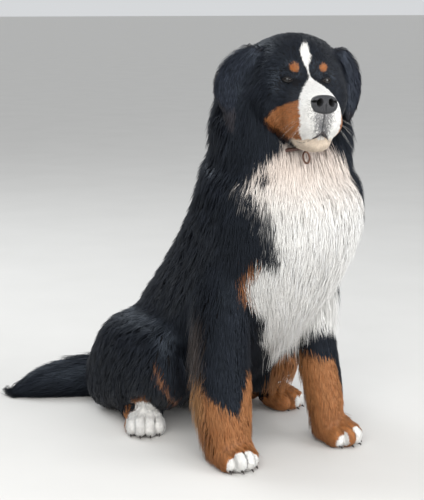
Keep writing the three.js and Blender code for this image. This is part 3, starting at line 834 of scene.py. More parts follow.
# The lie of the coat.
# The hair of a Bernese runs back from the nose, down the neck and chest, back along the flanks and
# down the legs. It is short on the face and feet, and long on the chest, breeches, feathers and tail.
PARTS = ["trunk", "neck", "head", "jaw", "ear", "foreleg", "haunch", "hind_foot", "tail", "paw"]
PAW_BALL = {"at": (0, -12, 22), "size": (52, 62, 38)}
DOWN = np.array([0, 0, -1.0])
MIDLINE = 8


def part_readings(points):
    """For each part, its t and angle at each point and how far out the point lies, where the least is the
    owner. A part that stands on both sides has a reading for the left and then for the right."""
    head = to_head(points)
    readings = {
        "trunk": [TRUNK.nearest(points)],
        "neck": [NECK.nearest(points)],
        "head": [SKULL.nearest(head)],
        "jaw": [JAW.nearest(head)],
        "ear": [EARS[way].nearest(head) for way in (1, -1)],
        "tail": [TAIL.nearest(points)],
        "paw": [],
    }
    for name, forms in (("foreleg", FORELEGS), ("haunch", HAUNCHES), ("hind_foot", HIND_FEET)):
        readings[name] = [forms[way].nearest(points) for way in (1, -1)]
    for name in PAWS:
        own = to_paw(name, points)
        out = np.linalg.norm((own - np.array(PAW_BALL["at"])) / np.array(PAW_BALL["size"]), axis=1)
        readings["paw"].append((own[:, 1], own[:, 0], out))
    return readings


FRINGE_TIPS = [(4, 92), (54, 66), (96, 4), (136, 55)]
FRINGE_REACH = 17


def trunk_coat(points, t, angle, _):
    """Back along the flanks, down over the breast, and forward at the breast's lower edge, where the coat
    hangs in points. A point is as much longer as its tip says, times exp(-(across / reach)^2)."""
    along = TRUNK.frame(t)[3]
    front = np.sin(angle)
    low = smooth(480, 330, points[:, 2]) * smooth(0.2, 0.8, front)
    breast = smooth(0, 0.8, front)
    backward = (1 - 0.6 * breast) * (1 - 0.85 * low)
    flow = -along * backward[:, None] + (0.45 + 0.7 * breast)[:, None] * DOWN
    flow = flow + 0.4 * low[:, None] * np.array([0.3, -1.0, 0])
    tips = sum(more * np.exp(-(((points[:, 0] - x) / FRINGE_REACH) ** 2)) for x, more in FRINGE_TIPS)
    long = 62 + 22 * breast + (tips - 6) * low
    return flow, (long, 19 + 6 * breast, 2.9 - 0.6 * breast, 0.12 + 0.1 * breast + 0.6 * low)


def ear_gap(head_points):
    """How far out from the nearer ear each point of the head's frame lies, where 1 is the ear's skin."""
    return np.minimum(*[EARS[way].nearest(head_points)[2] for way in (1, -1)])


def neck_coat(points, t, angle, _):
    """Down the neck, longest in the ruff, and shorter and flatter under the ears."""
    ruff = smooth(0.95, 0.5, t)
    breast = smooth(0, 0.8, np.sin(angle))
    by_ear = smooth(2.4, 1.4, ear_gap(to_head(points)))
    long = (58 + 32 * ruff) * (1 - 0.5 * by_ear)
    tall = (29 + 6 * ruff) * (1 - 0.8 * by_ear)
    return -NECK.frame(t)[3] + 0.2 * DOWN, (long, tall, 2.8 - 0.5 * breast, 0.15 + 0.15 * breast)


def head_coat(points, t, angle, _):
    """Back from the nose, up over the brows and down the cheeks. It is shortest on the muzzle and round
    the eyes, and grows longer towards the crown and the neck."""
    head = to_head(points)
    x, y, z = head.T
    muzzle = smooth(-24, -50, y)
    beside = smooth(25, 70, np.abs(x))
    under = smooth(30, -40, z)
    up = smooth(20, -30, y) * smooth(-25, 10, z) * (1 - beside) * (1 - muzzle)
    across = np.sign(x) * (0.12 + 0.45 * beside * (1 - under))
    lie = np.stack([across, 0.9 - 0.3 * up, 0.8 * up - 0.75 * beside * under - 0.2 * muzzle], -1)
    crown = smooth(0, 50, y) * smooth(20, 60, z)
    long = 9 + 15 * (1 - muzzle) * smooth(-20, 60, y) + 12 * beside * (1 - muzzle) * under
    long = long + 26 * smooth(60, 120, y) + 16 * smooth(55, 85, np.abs(x)) * smooth(10, 60, y) + 10 * crown
    by_ear = smooth(2.2, 1.3, ear_gap(head))
    long = long * (0.55 + 0.45 * smooth(18, 44, eye_gap(head))) * (1 - 0.45 * by_ear)
    tall = 2.0 + 0.2 * np.maximum(long - 9, 0) + 6 * smooth(70, 120, y) * (1 - by_ear) + 3 * crown
    return lie @ HEAD_AXES.T, (long, tall, 1.25 + 0.8 * smooth(9, 30, long), 0.05)


def ear_coat(points, t, angle, which):
    """Down the flap, longer at its root and round its free edge."""
    along = EARS[(1, -1)[which]].frame(t)[3]
    upper = smooth(0.5, 0.1, t)
    rim = smooth(0.75, 0.95, np.abs(np.cos(angle)))
    long = 20 + 16 * upper + 10 * t + 8 * rim
    return along @ HEAD_AXES.T, (long, 3.0 + 7 * upper + 3 * t + 3 * rim, 1.8, 0.2)


def foreleg_coat(points, t, angle, which):
    """Down the leg, short in front and long in the feather behind. The left leg has less of it, but the
    shoulder's long hair hangs over its top."""
    way = (1, -1)[which]
    front = np.sin(angle)
    fluff = 1.0 if way < 0 else 0.4
    back = smooth(0.3, -0.4, front) * smooth(-0.04, 0.12, t)
    beside = np.abs(np.cos(angle)) * (1 - back) * fluff
    shoulder = smooth(0.6, 0.8, t) * smooth(-0.2, 0.5, front) * (way > 0)
    flow = -FORELEGS[way].frame(t)[3] + back[:, None] * np.array([-0.5, 0.5, 0]) * fluff
    long = 26 + 14 * beside + (22 + 46 * fluff) * back + 14 * t + 40 * shoulder
    tall = 6 + 7 * beside + (5 + 22 * fluff) * back + 6 * t + 12 * shoulder
    return flow, (long, tall, 1.9 + 0.5 * back, 0.08 + 0.3 * back + 0.4 * shoulder)


def haunch_coat(points, t, angle, which):
    """Down and a little back over the thigh, shorter near the hind foot. On the left a fringe hangs over
    the foot's outer side."""
    paw_name = ("hindpaw_left", "hindpaw_right")[which]
    (paw_x, paw_y), _ = PAWS[paw_name]
    flow = np.tile([0.0, 0.34, -0.94], (len(points), 1))
    back = smooth(0.6, 0.1, t)
    paw_gap = np.linalg.norm(points - np.array([paw_x, paw_y - 20, 45.0]), axis=1)
    fringe = smooth(190, 150, points[:, 2]) * smooth(280, 250, points[:, 1]) * (which == 0)
    free = np.maximum(0.3 + 0.7 * smooth(60, 120, paw_gap), fringe)
    long = (52 + 20 * back + 34 * fringe) * free
    return flow, (long, 19 * free, 2.7 - 0.7 * fringe, 0.15 + 0.6 * fringe)


def hind_foot_coat(points, t, angle, which):
    """Short, forward along the foot and down."""
    along = HIND_FEET[(1, -1)[which]].frame(t)[3]
    return along + 0.5 * DOWN, (22, 6, 2.0, 0.1)


def tail_coat(points, t, angle, _):
    """Towards the tip, and outwards to both sides."""
    away = np.cos(angle)[:, None] * TAIL.side
    return TAIL.frame(t)[3] + 0.35 * away, (92, 27, 2.9, 0.12)


def paw_coat(points, ahead, aside, which):
    """Forward and down over the toes, and shortest there."""
    turn_of_paw = list(PAWS.values())[which][1]
    flow = turned(np.tile([0.0, -0.8, -0.6], (len(points), 1)), turn_of_paw)
    toes = smooth(-8, -30, ahead)
    return flow, (19 - 9 * toes, 6 - 3.2 * toes, 1.7 - 0.3 * toes, 0.05)


# Each part's coat, as its direction, and its length, height, width and hang, in millimetres but for hang.
COATS = {
    "trunk": trunk_coat,
    "neck": neck_coat,
    "head": head_coat,
    "jaw": head_coat,
    "ear": ear_coat,
    "foreleg": foreleg_coat,
    "haunch": haunch_coat,
    "hind_foot": hind_foot_coat,
    "tail": tail_coat,
    "paw": paw_coat,
}
BLEND = 0.07


def blended_fields(points):
    """The part that owns each skin point, and the direction and sizes of its coat. Where parts meet, their
    coats are averaged, each weighed by exp(-(how far out - the least) / blend)."""
    readings = part_readings(points)
    outs, flows, sizes, numbers = [], [], [], []
    for number, part in enumerate(PARTS):
        for which, (t, angle, out) in enumerate(readings[part]):
            flow, size = COATS[part](points, t, angle, which)
            outs.append(out if part != "neck" else out * 1.02)
            flows.append(unit(flow))
            sizes.append(np.stack(np.broadcast_arrays(*size), -1))
            numbers.append(number)
    outs = np.array(outs)
    weight = np.exp(-(outs - outs.min(axis=0)) / BLEND)
    weight /= weight.sum(axis=0)
    flow = sum(w[:, None] * f for w, f in zip(weight, flows))
    size = sum(w[:, None] * s for w, s in zip(weight, sizes))
    return np.array(numbers)[outs.argmin(axis=0)], unit(flow), size


# The skin's triangles, called patches: their corners, directions, areas, middles and owners.
skin_points = in_millimetres(skin_mesh)
skin_owner, skin_flow, skin_size = blended_fields(skin_points)
skin_mesh.calc_loop_triangles()
corners = np.empty(len(skin_mesh.loop_triangles) * 3, np.int32)
skin_mesh.loop_triangles.foreach_get("vertices", corners)
corners = corners.reshape(-1, 3)
skin_out = outward(skin_mesh)
patch_out = unit(skin_out[corners].mean(axis=1))
patch_flow = skin_flow[corners].mean(axis=1)
patch_flow = unit(patch_flow - np.sum(patch_flow * patch_out, axis=1)[:, None] * patch_out)
edge_a = skin_points[corners[:, 1]] - skin_points[corners[:, 0]]
edge_b = skin_points[corners[:, 2]] - skin_points[corners[:, 0]]
patch_area = np.linalg.norm(np.cross(edge_a, edge_b), axis=1) / 2
patch_middle = skin_points[corners].mean(axis=1)
patch_owner = skin_owner[corners[:, 0]]
skin_tree = BVHTree.FromPolygons(skin_points.tolist(), corners.tolist())

# Markings.
# Jet black over the body, with a white blaze, muzzle, chest and toes, and rust over the eyes, on the
# cheeks, beside the chest and on all four legs. Each is a soft-edged mask on the dog's own shape.
# Painted shade goes with some of them, under the chin, under the nose and between the toes, and a
# painted sheen lies on the ears.
BLACK = np.array([0.0036, 0.0042, 0.0062])
WHITE = np.array([0.90, 0.885, 0.85])
CREAM = np.array([0.84, 0.70, 0.60])
RUST = np.array([0.40, 0.136, 0.037])
TAN = np.array([0.58, 0.32, 0.14])
TAUPE = np.array([0.075, 0.058, 0.05])
GREY = np.array([0.045, 0.045, 0.055])
# The next colour is painted shade, used under the chin.
THROAT_PAINTED_SHADE = np.array([0.30, 0.15, 0.11])
CHIN = np.array([0.70, 0.58, 0.46])
CHEST_EDGES = [
    # height, the dog's right edge, its left edge
    (230, -30, 90),
    (262, -38, 98),
    (300, -50, 120),
    (324, -56, 130),
    (361, -70, 144),
    (390, -104, 146),
    (404, -114, 148),
    (440, -115, 152),
    (458, -104, 154),
    (467, -76, 154),
    (483, -82, 156),
    (514, -94, 156),
    (546, -102, 156),
    (575, -112, 152),
    (606, -127, 122),
    (628, -130, 108),
    (645, -120, 104),
    (660, -112, 104),
    (680, -98, 76),
    (690, -86, 60),
    (698, -66, 50),
    (704, -40, 40),
    (710, -14, 26),
    (790, 4, 6),
]
BLAZE = [
    # height over the eyes, middle, half width
    (-4, 2.6, 3.0),
    (5, 2.6, 1.6),
    (16, 1.8, 1.5),
    (25, 0.5, 2.2),
    (30, 0, 4.2),
    (37, 0, 8.2),
    (47, 0.3, 11.0),
    (58, -1, 10.0),
    (67, 2, 7.0),
    (76, 6, 1.5),
]
# Each rust brow's middle and half sizes.
BROWS = [((-28, -15, 25), (10, 14, 8.6)), ((35, -13, 26), (8.8, 14, 8.6))]
# How far down the muzzle, and how far back its white reaches there.
MUZZLE_EDGE = ([30, 44, 62, 82, 103, 115], [-80, -90, -102, -104, -92, -84])
# Where black cuts into the chest's white, and the upper and lower edges of the cheek's rust as y and z.
NOTCH = {"at": (-104, 640), "reach": (14, 12)}
CHEEK_TOP = [(-110, -30), (-81, -34), (-68, -40), (-44, -46), (-22, -57), (-1, -80), (10, -98)]
CHEEK_BOTTOM = [(-64, -126), (-45, -116), (-25, -104), (0, -90), (10, -84)]
THIGH_STRIPE = np.array([(-205, 240, 186), (-190, 224, 146), (-153, 238, 100), (-128, 262, 66)], float)


def speckled(points):
    """A number from 0 to 1 for each point that looks random, and is the same for the same point."""
    return np.sin(points @ np.array([12.9898, 78.233, 37.719])) * 43758.5453 % 1.0


def strand_by_strand(mask, points, spread=0.7):
    """Turns a soft-edged mask into one where each strand near the edge has one colour or the other, by
    adding spread times a number from -0.5 to 0.5 before the edge is made hard."""
    return smooth(0.35, 0.65, mask + (speckled(points) - 0.5) * spread * (mask > 0) * (mask < 1))


def column(rows, k):
    """One column of a list of rows."""
    return np.array([row[k] for row in rows], float)


def mixed(first, second, share):
    """For each point, the first colour plus its share of the way to the second."""
    return first + (second - first) * share[:, None]


def head_markings_and_shade(colour, head):
    """White blaze and muzzle, rust brows and cheeks, and under the nose a grey that is partly speckled
    hair and partly painted shade, the lips and the cleft.
    """
    x, y, z = head.T
    top, middle, half_width = (column(BLAZE, k) for k in range(3))
    blaze = smooth(2.4, -2.4, np.abs(x - np.interp(z, top, middle)) - np.interp(z, top, half_width))
    blaze *= smooth(80, 70, z) * smooth(-8, -2, z) * smooth(40, 30, y)
    over = smooth(-4, 4, (-24 - y) * np.where(x > 0, 0.9, 0.66) + 3 - np.abs(x - 2)) * smooth(-38, -30, z)
    sides = smooth(4, -4, y - np.interp(-z, MUZZLE_EDGE[0], MUZZLE_EDGE[1])) * smooth(-26, -34, z)
    white = strand_by_strand(np.maximum.reduce([blaze, over, sides]), head)
    cheek = smooth(5, -5, z - np.interp(y, column(CHEEK_TOP, 0), column(CHEEK_TOP, 1)))
    cheek *= smooth(12, -8, y) * smooth(22, 30, np.abs(x))
    above_jaw = z - np.interp(y, column(CHEEK_BOTTOM, 0), column(CHEEK_BOTTOM, 1))
    colour = mixed(colour, RUST * 0.16, cheek * smooth(-26, -8, above_jaw))
    cheek *= smooth(-5, 5, above_jaw)
    colour = mixed(colour, RUST, strand_by_strand(cheek, head))
    for middle, reach in BROWS:
        out = np.sqrt(np.sum(((head - np.array(middle)) / np.array(reach)) ** 2, axis=1))
        colour = mixed(colour, RUST * 0.8, strand_by_strand(smooth(1.4, 0.6, out), head, 0.6))
    colour = mixed(colour, WHITE, white)
    # Grey under the nose: partly speckled hair, partly painted shade, strongest in the middle below it.
    reach = np.interp(z, [-110, -95, -75, -55], [11, 15, 19, 25])
    grey_speckle_and_shade = smooth(-92, -112, y) * smooth(1.5, 0.3, np.abs(x + 1) / reach) * smooth(-112, -98, z)
    grey_speckle_and_shade *= smooth(-26, -52, z)
    ragged = grey_speckle_and_shade + (speckled(head) - 0.5) * 1.1 * (grey_speckle_and_shade > 0.02)
    colour = mixed(colour, GREY, smooth(0.1, 0.9, ragged) * 0.85)
    cleft = smooth(2.0, 0.6, np.abs(x)) * smooth(-108, -113, y) * smooth(-50, -58, z)
    lips = np.minimum(*[distance_to(mouth_path(way), head) for way in (1, -1)])
    lip_edge = smooth(4.8, 2.6, lips) * smooth(20, 9, np.abs(x + 1))
    return mixed(colour, BLACK * 2, np.maximum(0.7 * cleft, lip_edge))


def jaw_markings(colour, head):
    """A pale chin."""
    return mixed(colour, CHIN, smooth(-40, -58, head[:, 1]))


def ear_painted_sheen_and_tint(colour, head):
    """The black of the ears is painted a little paler than the cheek's, as a sheen where light falls on
    the flaps, and paler and browner still along the free edge, partly a brown tint and partly a painted
    highlight.
    """
    for way in (1, -1):
        t, angle, _ = EARS[way].nearest(head)
        edge = np.maximum(smooth(0.8, 0.97, np.abs(np.cos(angle))), smooth(0.8, 0.95, t))
        this_side = np.sign(head[:, 0]) == way
        # Painted sheen over each ear, with a brown tint and a painted highlight on the free edge.
        colour = mixed(colour, colour * 2.3 + TAUPE * 0.22 * edge[:, None], this_side.astype(float))
    return colour


def chest_markings_and_shade(colour, points):
    """White between two edges and in front of a depth that change with the height, creamier towards the
    throat, with a painted shade under the chin. A narrow rust trim runs down its right edge."""
    x, y, z = points.T
    height, right, left = (column(CHEST_EDGES, k) for k in range(3))
    right, left = np.interp(z, height, right), np.interp(z, height, left)
    depth = np.interp(z, [250, 500, 700, 800], [60, 60, 40, 20])
    inside = smooth(-9, 9, np.minimum(x - right, left - x)) * smooth(depth + 14, depth - 10, y)
    inside *= smooth(-14, 14, z - np.interp(x, [-80, 0, 60, 110, 150], [252, 262, 282, 292, 262]))
    (notch_x, notch_z), (reach_x, reach_z) = NOTCH["at"], NOTCH["reach"]
    inside *= 1 - smooth(1.3, 0.7, np.hypot((x - notch_x) / reach_x, (z - notch_z) / reach_z))
    inside = strand_by_strand(inside, points)
    trim = smooth(4, -2, x - right) * smooth(-16, -10, x - right)
    trim = trim * smooth(372, 390, z) * smooth(460, 446, z)
    colour = mixed(colour, RUST * 0.8, strand_by_strand(trim * smooth(40, 24, y), points))
    pale = mixed(np.tile(WHITE, (len(points), 1)), CREAM, 0.8 * smooth(540, 680, z))
    # Painted shade: the pale turns dark brown under the chin, above the collar.
    pale = mixed(pale, THROAT_PAINTED_SHADE, smooth(684, 716, z) * 0.75)
    return colour + (pale - colour) * inside[:, None]


def foreleg_markings(colour, points, way):
    """Black above rust. On the right leg the black ends in a wedge on the front of the leg, and the
    feather behind it fades to greyish brown and then to tan. On the left leg the white of the chest
    hangs over it."""
    _, angle, _ = FORELEGS[way].nearest(points)
    x, y, z = points.T
    inner = -way * np.cos(angle)
    behind = smooth(0.3, -0.4, np.sin(angle))
    if way < 0:
        from_wedge = (angle - 1.48 + np.pi) % (2 * np.pi) - np.pi
        line = 120 + np.minimum(np.where(from_wedge < 0, -190 * from_wedge, 36 * from_wedge), 88)
        colour = mixed(colour, TAUPE, strand_by_strand(behind * smooth(350, 290, z), points) * 0.9)
        tan = behind * smooth(230, 190, z)
    else:
        line = 206 - 84 * smooth(0.15, 0.8, -inner) + 14 * smooth(0.2, 0.9, inner)
        tan = behind * 0.5
    shade = tan * 0.75 + 0.35 * speckled(points) * (1 - tan)
    rust = mixed(np.tile(RUST, (len(points), 1)), TAN, shade)
    below = strand_by_strand(smooth(16, -16, z - line), points)
    colour = colour + (rust - colour) * below[:, None]
    if way > 0:
        over = smooth(-14, 14, z - np.interp(x, [60, 110, 150], [300, 294, 264])) * smooth(64, 40, y)
        colour = mixed(colour, WHITE, strand_by_strand(over, points))
    return colour


def paw_markings_and_shade(colour, points):
    """Rust paws with white toes. The left forepaw keeps one rust toe, the left hind paw has white only at
    the tips, and the right hind paw is white but for its outer side. A painted shade darkens the gaps
    between toes."""
    for name in PAWS:
        own = to_paw(name, points)
        near = smooth(90, 76, np.linalg.norm(own[:, :2], axis=1)) * smooth(104, 90, own[:, 2])
        rust = mixed(np.tile(RUST, (len(points), 1)), TAN, 0.3 * speckled(points))
        colour = colour + (rust - colour) * near[:, None]
        if name == "forepaw_right":
            white = smooth(-26, -34, own[:, 1] + 0.15 * own[:, 2]) * smooth(-44, -38, own[:, 0])
        elif name == "hindpaw_right":
            white = smooth(-44, -34, own[:, 0] - 0.3 * own[:, 1]) * smooth(24, 8, own[:, 1])
        elif name == "hindpaw_left":
            white = smooth(-50, -56, own[:, 1])
        else:
            toes = np.maximum(smooth(-19, -23, own[:, 0]), smooth(-2, 2, own[:, 0]))
            white = smooth(-24, -32, own[:, 1] + 0.3 * own[:, 2]) * toes
        colour = mixed(colour, WHITE, strand_by_strand(near * white, points, 0.4))
        # Painted shade: a dark stripe down each gap between toes, darkest in the middle gap of the right
        # forepaw.
        dark = (0.35, 0.8, 0.35) if name == "forepaw_right" else (0.25, 0.35, 0.25)
        for middle, depth in zip(TOE_GAPS, dark):
            gap = smooth(2.4, 0.8, np.abs(own[:, 0] - middle)) * smooth(-24, -34, own[:, 1]) * near
            colour = mixed(colour, BLACK * 4, depth * gap)
    return colour


def haunch_markings(colour, points):
    """A narrow brown stripe down the front of the right thigh, rust low on the front of the left one, and
    the white of the right hind paw running up on to the leg."""
    x, y, z = points.T
    stripe = smooth(13, 5, distance_to(THIGH_STRIPE, points))
    colour = mixed(colour, RUST * 0.5 + TAUPE * 0.6, strand_by_strand(stripe, points))
    rust = smooth(112, 124, x) * smooth(210, 190, x) * smooth(300, 270, y) * smooth(182, 160, z)
    lit = mixed(np.tile(RUST, (len(points), 1)), TAN, 0.5 * speckled(points))
    colour = colour + (lit - colour) * strand_by_strand(rust, points)[:, None]
    own = to_paw("hindpaw_right", points)
    rise = z + 0.028 * own[:, 0] ** 2
    cap = smooth(46, 38, np.abs(own[:, 0])) * smooth(10, -4, own[:, 1]) * (x < 0)
    colour = mixed(colour, RUST * 0.6, cap * smooth(112, 98, rise) * smooth(14, 2, own[:, 0]))
    return mixed(colour, WHITE, cap * smooth(92, 84, rise) * smooth(-36, -26, own[:, 0]))


def coat_colour(points, owner):
    """The colour of the coat at points that the numbered parts own: black or, on the hind feet, rust, and
    then each part's markings over it, with painted shade under the chin, under the nose and between the
    toes, and a painted sheen on the ears."""
    colour = np.tile(BLACK, (len(points), 1))
    colour[owner == PARTS.index("hind_foot")] = RUST
    head = to_head(points)
    for name, marked, place in (
        ("head", head_markings_and_shade, head),
        ("jaw", jaw_markings, head),
        ("ear", ear_painted_sheen_and_tint, head),
        ("trunk", chest_markings_and_shade, points),
        ("neck", chest_markings_and_shade, points),
        ("haunch", haunch_markings, points),
        ("paw", paw_markings_and_shade, points),
        ("hind_foot", paw_markings_and_shade, points),
    ):
        own = owner == PARTS.index(name)
        colour[own] = marked(colour[own], place[own])
    legs = owner == PARTS.index("foreleg")
    for way in (1, -1):
        own = legs & (np.sign(points[:, 0] - MIDLINE) == way)
        colour[own] = paw_markings_and_shade(foreleg_markings(colour[own], points[own], way), points[own])
    return np.clip(colour, 0.002, 0.92)


def coloured(mesh, colours):
    """Stores a colour at each point under the name fur."""
    store = mesh.attributes.new("fur", "FLOAT_COLOR", "POINT")
    opaque = np.column_stack([colours, np.ones(len(colours))])
    store.data.foreach_set("color", opaque.astype(np.float32).ravel())


hide = Finish("skin_and_short_coat", Roughness=0.7, Specular_IOR_Level=0.2)
drawn = hide.node("ShaderNodeAttribute", {"attribute_name": "fur"}).value(0)
mottle = hide.noise(90.0, 4.0, 0.6)
hide.two_tone(mottle * 0.2, drawn, (0.008, 0.007, 0.007))
hide.bump(hide.noise(700.0, 3.0, 0.7) + mottle * 0.6, 0.0012, 0.7)
skin_mesh.shade_smooth()
skin_mesh.materials.append(hide.material)
SKIN_SHADE = 0.95
coloured(skin_mesh, coat_colour(skin_points, skin_owner) * SKIN_SHADE)
skin = bpy.data.objects.new("skin", skin_mesh)
bpy.context.scene.collection.objects.link(skin)
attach(skin, "root")
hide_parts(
    "trunk", "neck", "head", "jaw", "ear_left", "ear_right", "foreleg_left", "foreleg_right",
    "haunch_left", "haunch_right", "hindfoot_left", "hindfoot_right", "tail",
    "forepaw_left", "forepaw_right", "hindpaw_left", "hindpaw_right",
)

# Coat.
# Long, soft, slightly wavy outer hair over the whole dog, short and close on the face and feet. Each
# tuft is a tapering three-sided blade that is combed along the skin and drawn to a lock's tip.
chance = np.random.default_rng(7)
ROOT_DEPTH = 2.0
FLOOR_CLEARANCE = 1.5
MIDWAY = 0.7
OWN_LEAN = 0.28
LOCK_STEPS = {"wave": 0.7548776662, "shade": 0.5698402910, "tan": 0.4142135624}


def landed(points):
    """For each point, the nearest skin place, the skin's outward direction and the coat's lie there, and
    the number of its patch."""
    hits = [skin_tree.find_nearest(point) for point in points.tolist()]
    patch = np.array([hit[2] for hit in hits])
    return np.array([tuple(hit[0]) for hit in hits]), patch_out[patch], patch_flow[patch], patch


def rooted(weights, count):
    """Random places on the skin, as many as asked, in proportion to each patch's area times its weight."""
    share = patch_area * weights
    patch = chance.choice(len(share), count, p=share / share.sum())
    a, b = chance.random(count), chance.random(count)
    fold = a + b > 1
    a, b = np.where(fold, 1 - a, a)[:, None], np.where(fold, 1 - b, b)[:, None]
    roots = skin_points[corners[patch, 0]] + a * edge_a[patch] + b * edge_b[patch]
    blend = np.stack([1 - a[:, 0] - b[:, 0], a[:, 0], b[:, 0]], -1)[:, :, None]
    size = np.sum(skin_size[corners[patch]] * blend, axis=1)
    return roots, patch, size


def combed(roots, patch, size, steps, stray):
    """The path of each tuft. Each step follows the coat's lie, turned a little at random, and falls by
    hang * share^0.8, so most at the tip. The path lies above the skin by height * share^0.6, where it
    doesn't hang free of it, and above the floor. The last result is its place at the last step that is
    within 0.7 of the way."""
    long, tall, hang = size[:, 0], size[:, 1], size[:, 3]
    out, lie = patch_out[patch], patch_flow[patch]
    path = [roots - out * ROOT_DEPTH]
    outs = [out]
    at = roots
    turn_by = chance.normal(0, stray, len(roots))
    spread = np.cross(out, lie)
    mid = roots
    for k in range(1, steps + 1):
        share = k / steps
        fall = (hang * share**0.8)[:, None]
        ahead = unit(lie + spread * turn_by[:, None] + out * (0.25 * (1 - share)))
        ahead = unit(ahead * (1 - fall) + DOWN * fall)
        reach = at + ahead * (long / steps)[:, None]
        ground, out, lie, _ = landed(reach)
        spread = np.cross(out, lie)
        depth = np.sum((reach - ground) * out, axis=1)
        wanted = tall * share**0.6
        held = np.where(depth > wanted, 1 - fall[:, 0], 1.0)
        reach = reach + out * ((wanted - depth) * held)[:, None]
        reach[:, 2] = np.maximum(reach[:, 2], FLOOR_CLEARANCE + 2 * share)
        path.append(reach)
        outs.append(out)
        at = reach
        if share <= MIDWAY:
            mid = reach
    return np.stack(path, 1), np.stack(outs, 1), mid


def lock_number(lock, kind):
    """A number from 0 to 1 for each tuft that is the same all through its lock, and looks random."""
    return lock * LOCK_STEPS[kind] % 1.0


def gathered(path, roots, per_lock, draw, wave, wave_length):
    """Draws the tufts of a lock to the path of one of them, by draw * share^1.5, and bends each lock from
    side to side by wave * share * (sin(phase + share * length / wave length, in turns) - sin(phase))."""
    leaders = chance.permutation(len(roots))[: max(1, len(roots) // per_lock)]
    tree = KDTree(len(leaders))
    for k in leaders.tolist():
        tree.insert(roots[k], k)
    tree.balance()
    lock = np.array([tree.find(root)[1] for root in roots.tolist()])
    share = np.linspace(0, 1, path.shape[1])[None, :, None]
    drawn_in = path + (path[lock] - path) * draw * share**1.5
    along = unit(drawn_in[:, -1] - drawn_in[:, 0])
    sideways = unit(np.cross(along, patch_out[landed(roots)[3]]))
    length = np.linalg.norm(path[:, -1] - path[:, 0], axis=1)[:, None, None]
    phase = (lock_number(lock, "wave") * 2 * np.pi)[:, None, None]
    bend = np.sin(phase + share * length / wave_length * 2 * np.pi) - np.sin(phase)
    return drawn_in + sideways[:, None, :] * bend * wave * share, lock, sideways


def blades(path, outs, sideways, width):
    """Closed three-sided tapering blades along paths, with two corners on the sides and one on the crest.
    The width is full * (0.55 + 0.45 * sin(1.4 * share of half a turn)) * (1 - share^3), and all faces
    are triangles. The shading direction is the skin's, plus a little of the corner's own, so that a lock
    of many blades shades softly, as hair does."""
    count, rings = path.shape[0], path.shape[1] - 1
    share = np.linspace(0, 1, rings + 1)[:-1]
    wide = (0.55 + 0.45 * np.sin(np.pi * np.minimum(share * 1.4, 1))) * (1 - share**3)
    ahead = unit(path[:, 1:] - path[:, :-1])
    crest = unit(np.cross(sideways[:, None, :], ahead))
    side = np.cross(ahead, crest)
    half = (width[:, None] * wide[None, :])[:, :, None] / 2
    ring = path[:, :-1]
    left, right, top = ring - side * half, ring + side * half, ring + crest * half * 0.8
    body = np.stack([left, right, top], 2).reshape(count, rings * 3, 3)
    points = np.concatenate([body, path[:, -1:]], 1)
    lean = np.stack([-side, side, crest], 2) * OWN_LEAN + outs[:, :-1, None, :]
    lean = np.concatenate([lean.reshape(count, rings * 3, 3), outs[:, -1:] + ahead[:, -1:] * 0.2], 1)
    faces = [[0, 1, 2]]
    for k in range(rings - 1):
        for a in range(3):
            b = (a + 1) % 3
            low, high = 3 * k, 3 * k + 3
            faces += [[low + a, high + b, low + b], [low + a, high + a, high + b]]
    tip = rings * 3
    faces += [[tip - 3 + a, tip, tip - 3 + (a + 1) % 3] for a in range(3)]
    faces = np.array(faces)
    every = faces[None] + (np.arange(count) * (tip + 1))[:, None, None]
    return points.reshape(-1, 3), every.reshape(-1, 3), unit(lean.reshape(-1, 3))


def mesh_of(name, points, faces):
    """A mesh of triangles from whole arrays."""
    mesh = bpy.data.meshes.new(name)
    mesh.vertices.add(len(points))
    mesh.vertices.foreach_set("co", points.astype(np.float32).ravel())
    mesh.loops.add(faces.size)
    mesh.loops.foreach_set("vertex_index", faces.astype(np.int32).ravel())
    mesh.polygons.add(len(faces))
    mesh.polygons.foreach_set("loop_start", np.arange(0, faces.size, 3, dtype=np.int32))
    mesh.update(calc_edges=True)
    return mesh


def unwrapped(roots, owner):
    """Each root's place on an unwrap of the skin: round its part across, and along its part upwards, with
    one square for each part and side."""
    place = np.zeros((len(roots), 2))
    readings = part_readings(roots)
    used = []
    for number, part in enumerate(PARTS):
        nearest = np.argmin([out for _, _, out in readings[part]], axis=0)
        for which, reading in enumerate(readings[part]):
            own = (owner == number) & (nearest == which)
            if own.any():
                used.append((own, reading))
    across = int(np.ceil(np.sqrt(len(used))))
    for n, (own, (t, angle, _)) in enumerate(used):
        cell = np.array([n % across, n // across]) / across
        u, v = angle[own], t[own]
        u, v = ((w - w.min()) / max(np.ptp(w), 1e-6) for w in (u, v))
        place[own] = cell + (0.02 + 0.96 * np.stack([u, v], -1)) / across
    return place


SHEEN_TINT = (0.68, 0.82, 1.0, 1.0)
HAIR_ROUGHNESS = {"black_coat": 0.42, "white_coat": 0.62, "rust_coat": 0.55}
fur_finishes = {}


def fur_finish(kind):
    """Hair with a cool sheen and a fine grain, which reads each tuft's own colour."""
    if kind not in fur_finishes:
        roughness = HAIR_ROUGHNESS[kind]
        made = Finish("hair_of_" + kind, IOR=1.5, Specular_IOR_Level=0.3, Specular_Tint=SHEEN_TINT)
        own = made.node("ShaderNodeAttribute", {"attribute_name": "fur"}).value(0)
        grain = made.noise(420.0, 2.0, 0.6)
        made.two_tone(grain * 0.3, own, (0.006, 0.006, 0.008))
        made.set("Roughness", grain * 0.16 + (roughness - 0.08))
        fur_finishes[kind] = made
    return fur_finishes[kind]


def corner_shares(steps):
    """How far along its tuft each corner of a blade lies: three corners at each step, and the tip."""
    return np.append(np.repeat(np.linspace(0, 1, steps + 1)[:-1], 3), 1.0)


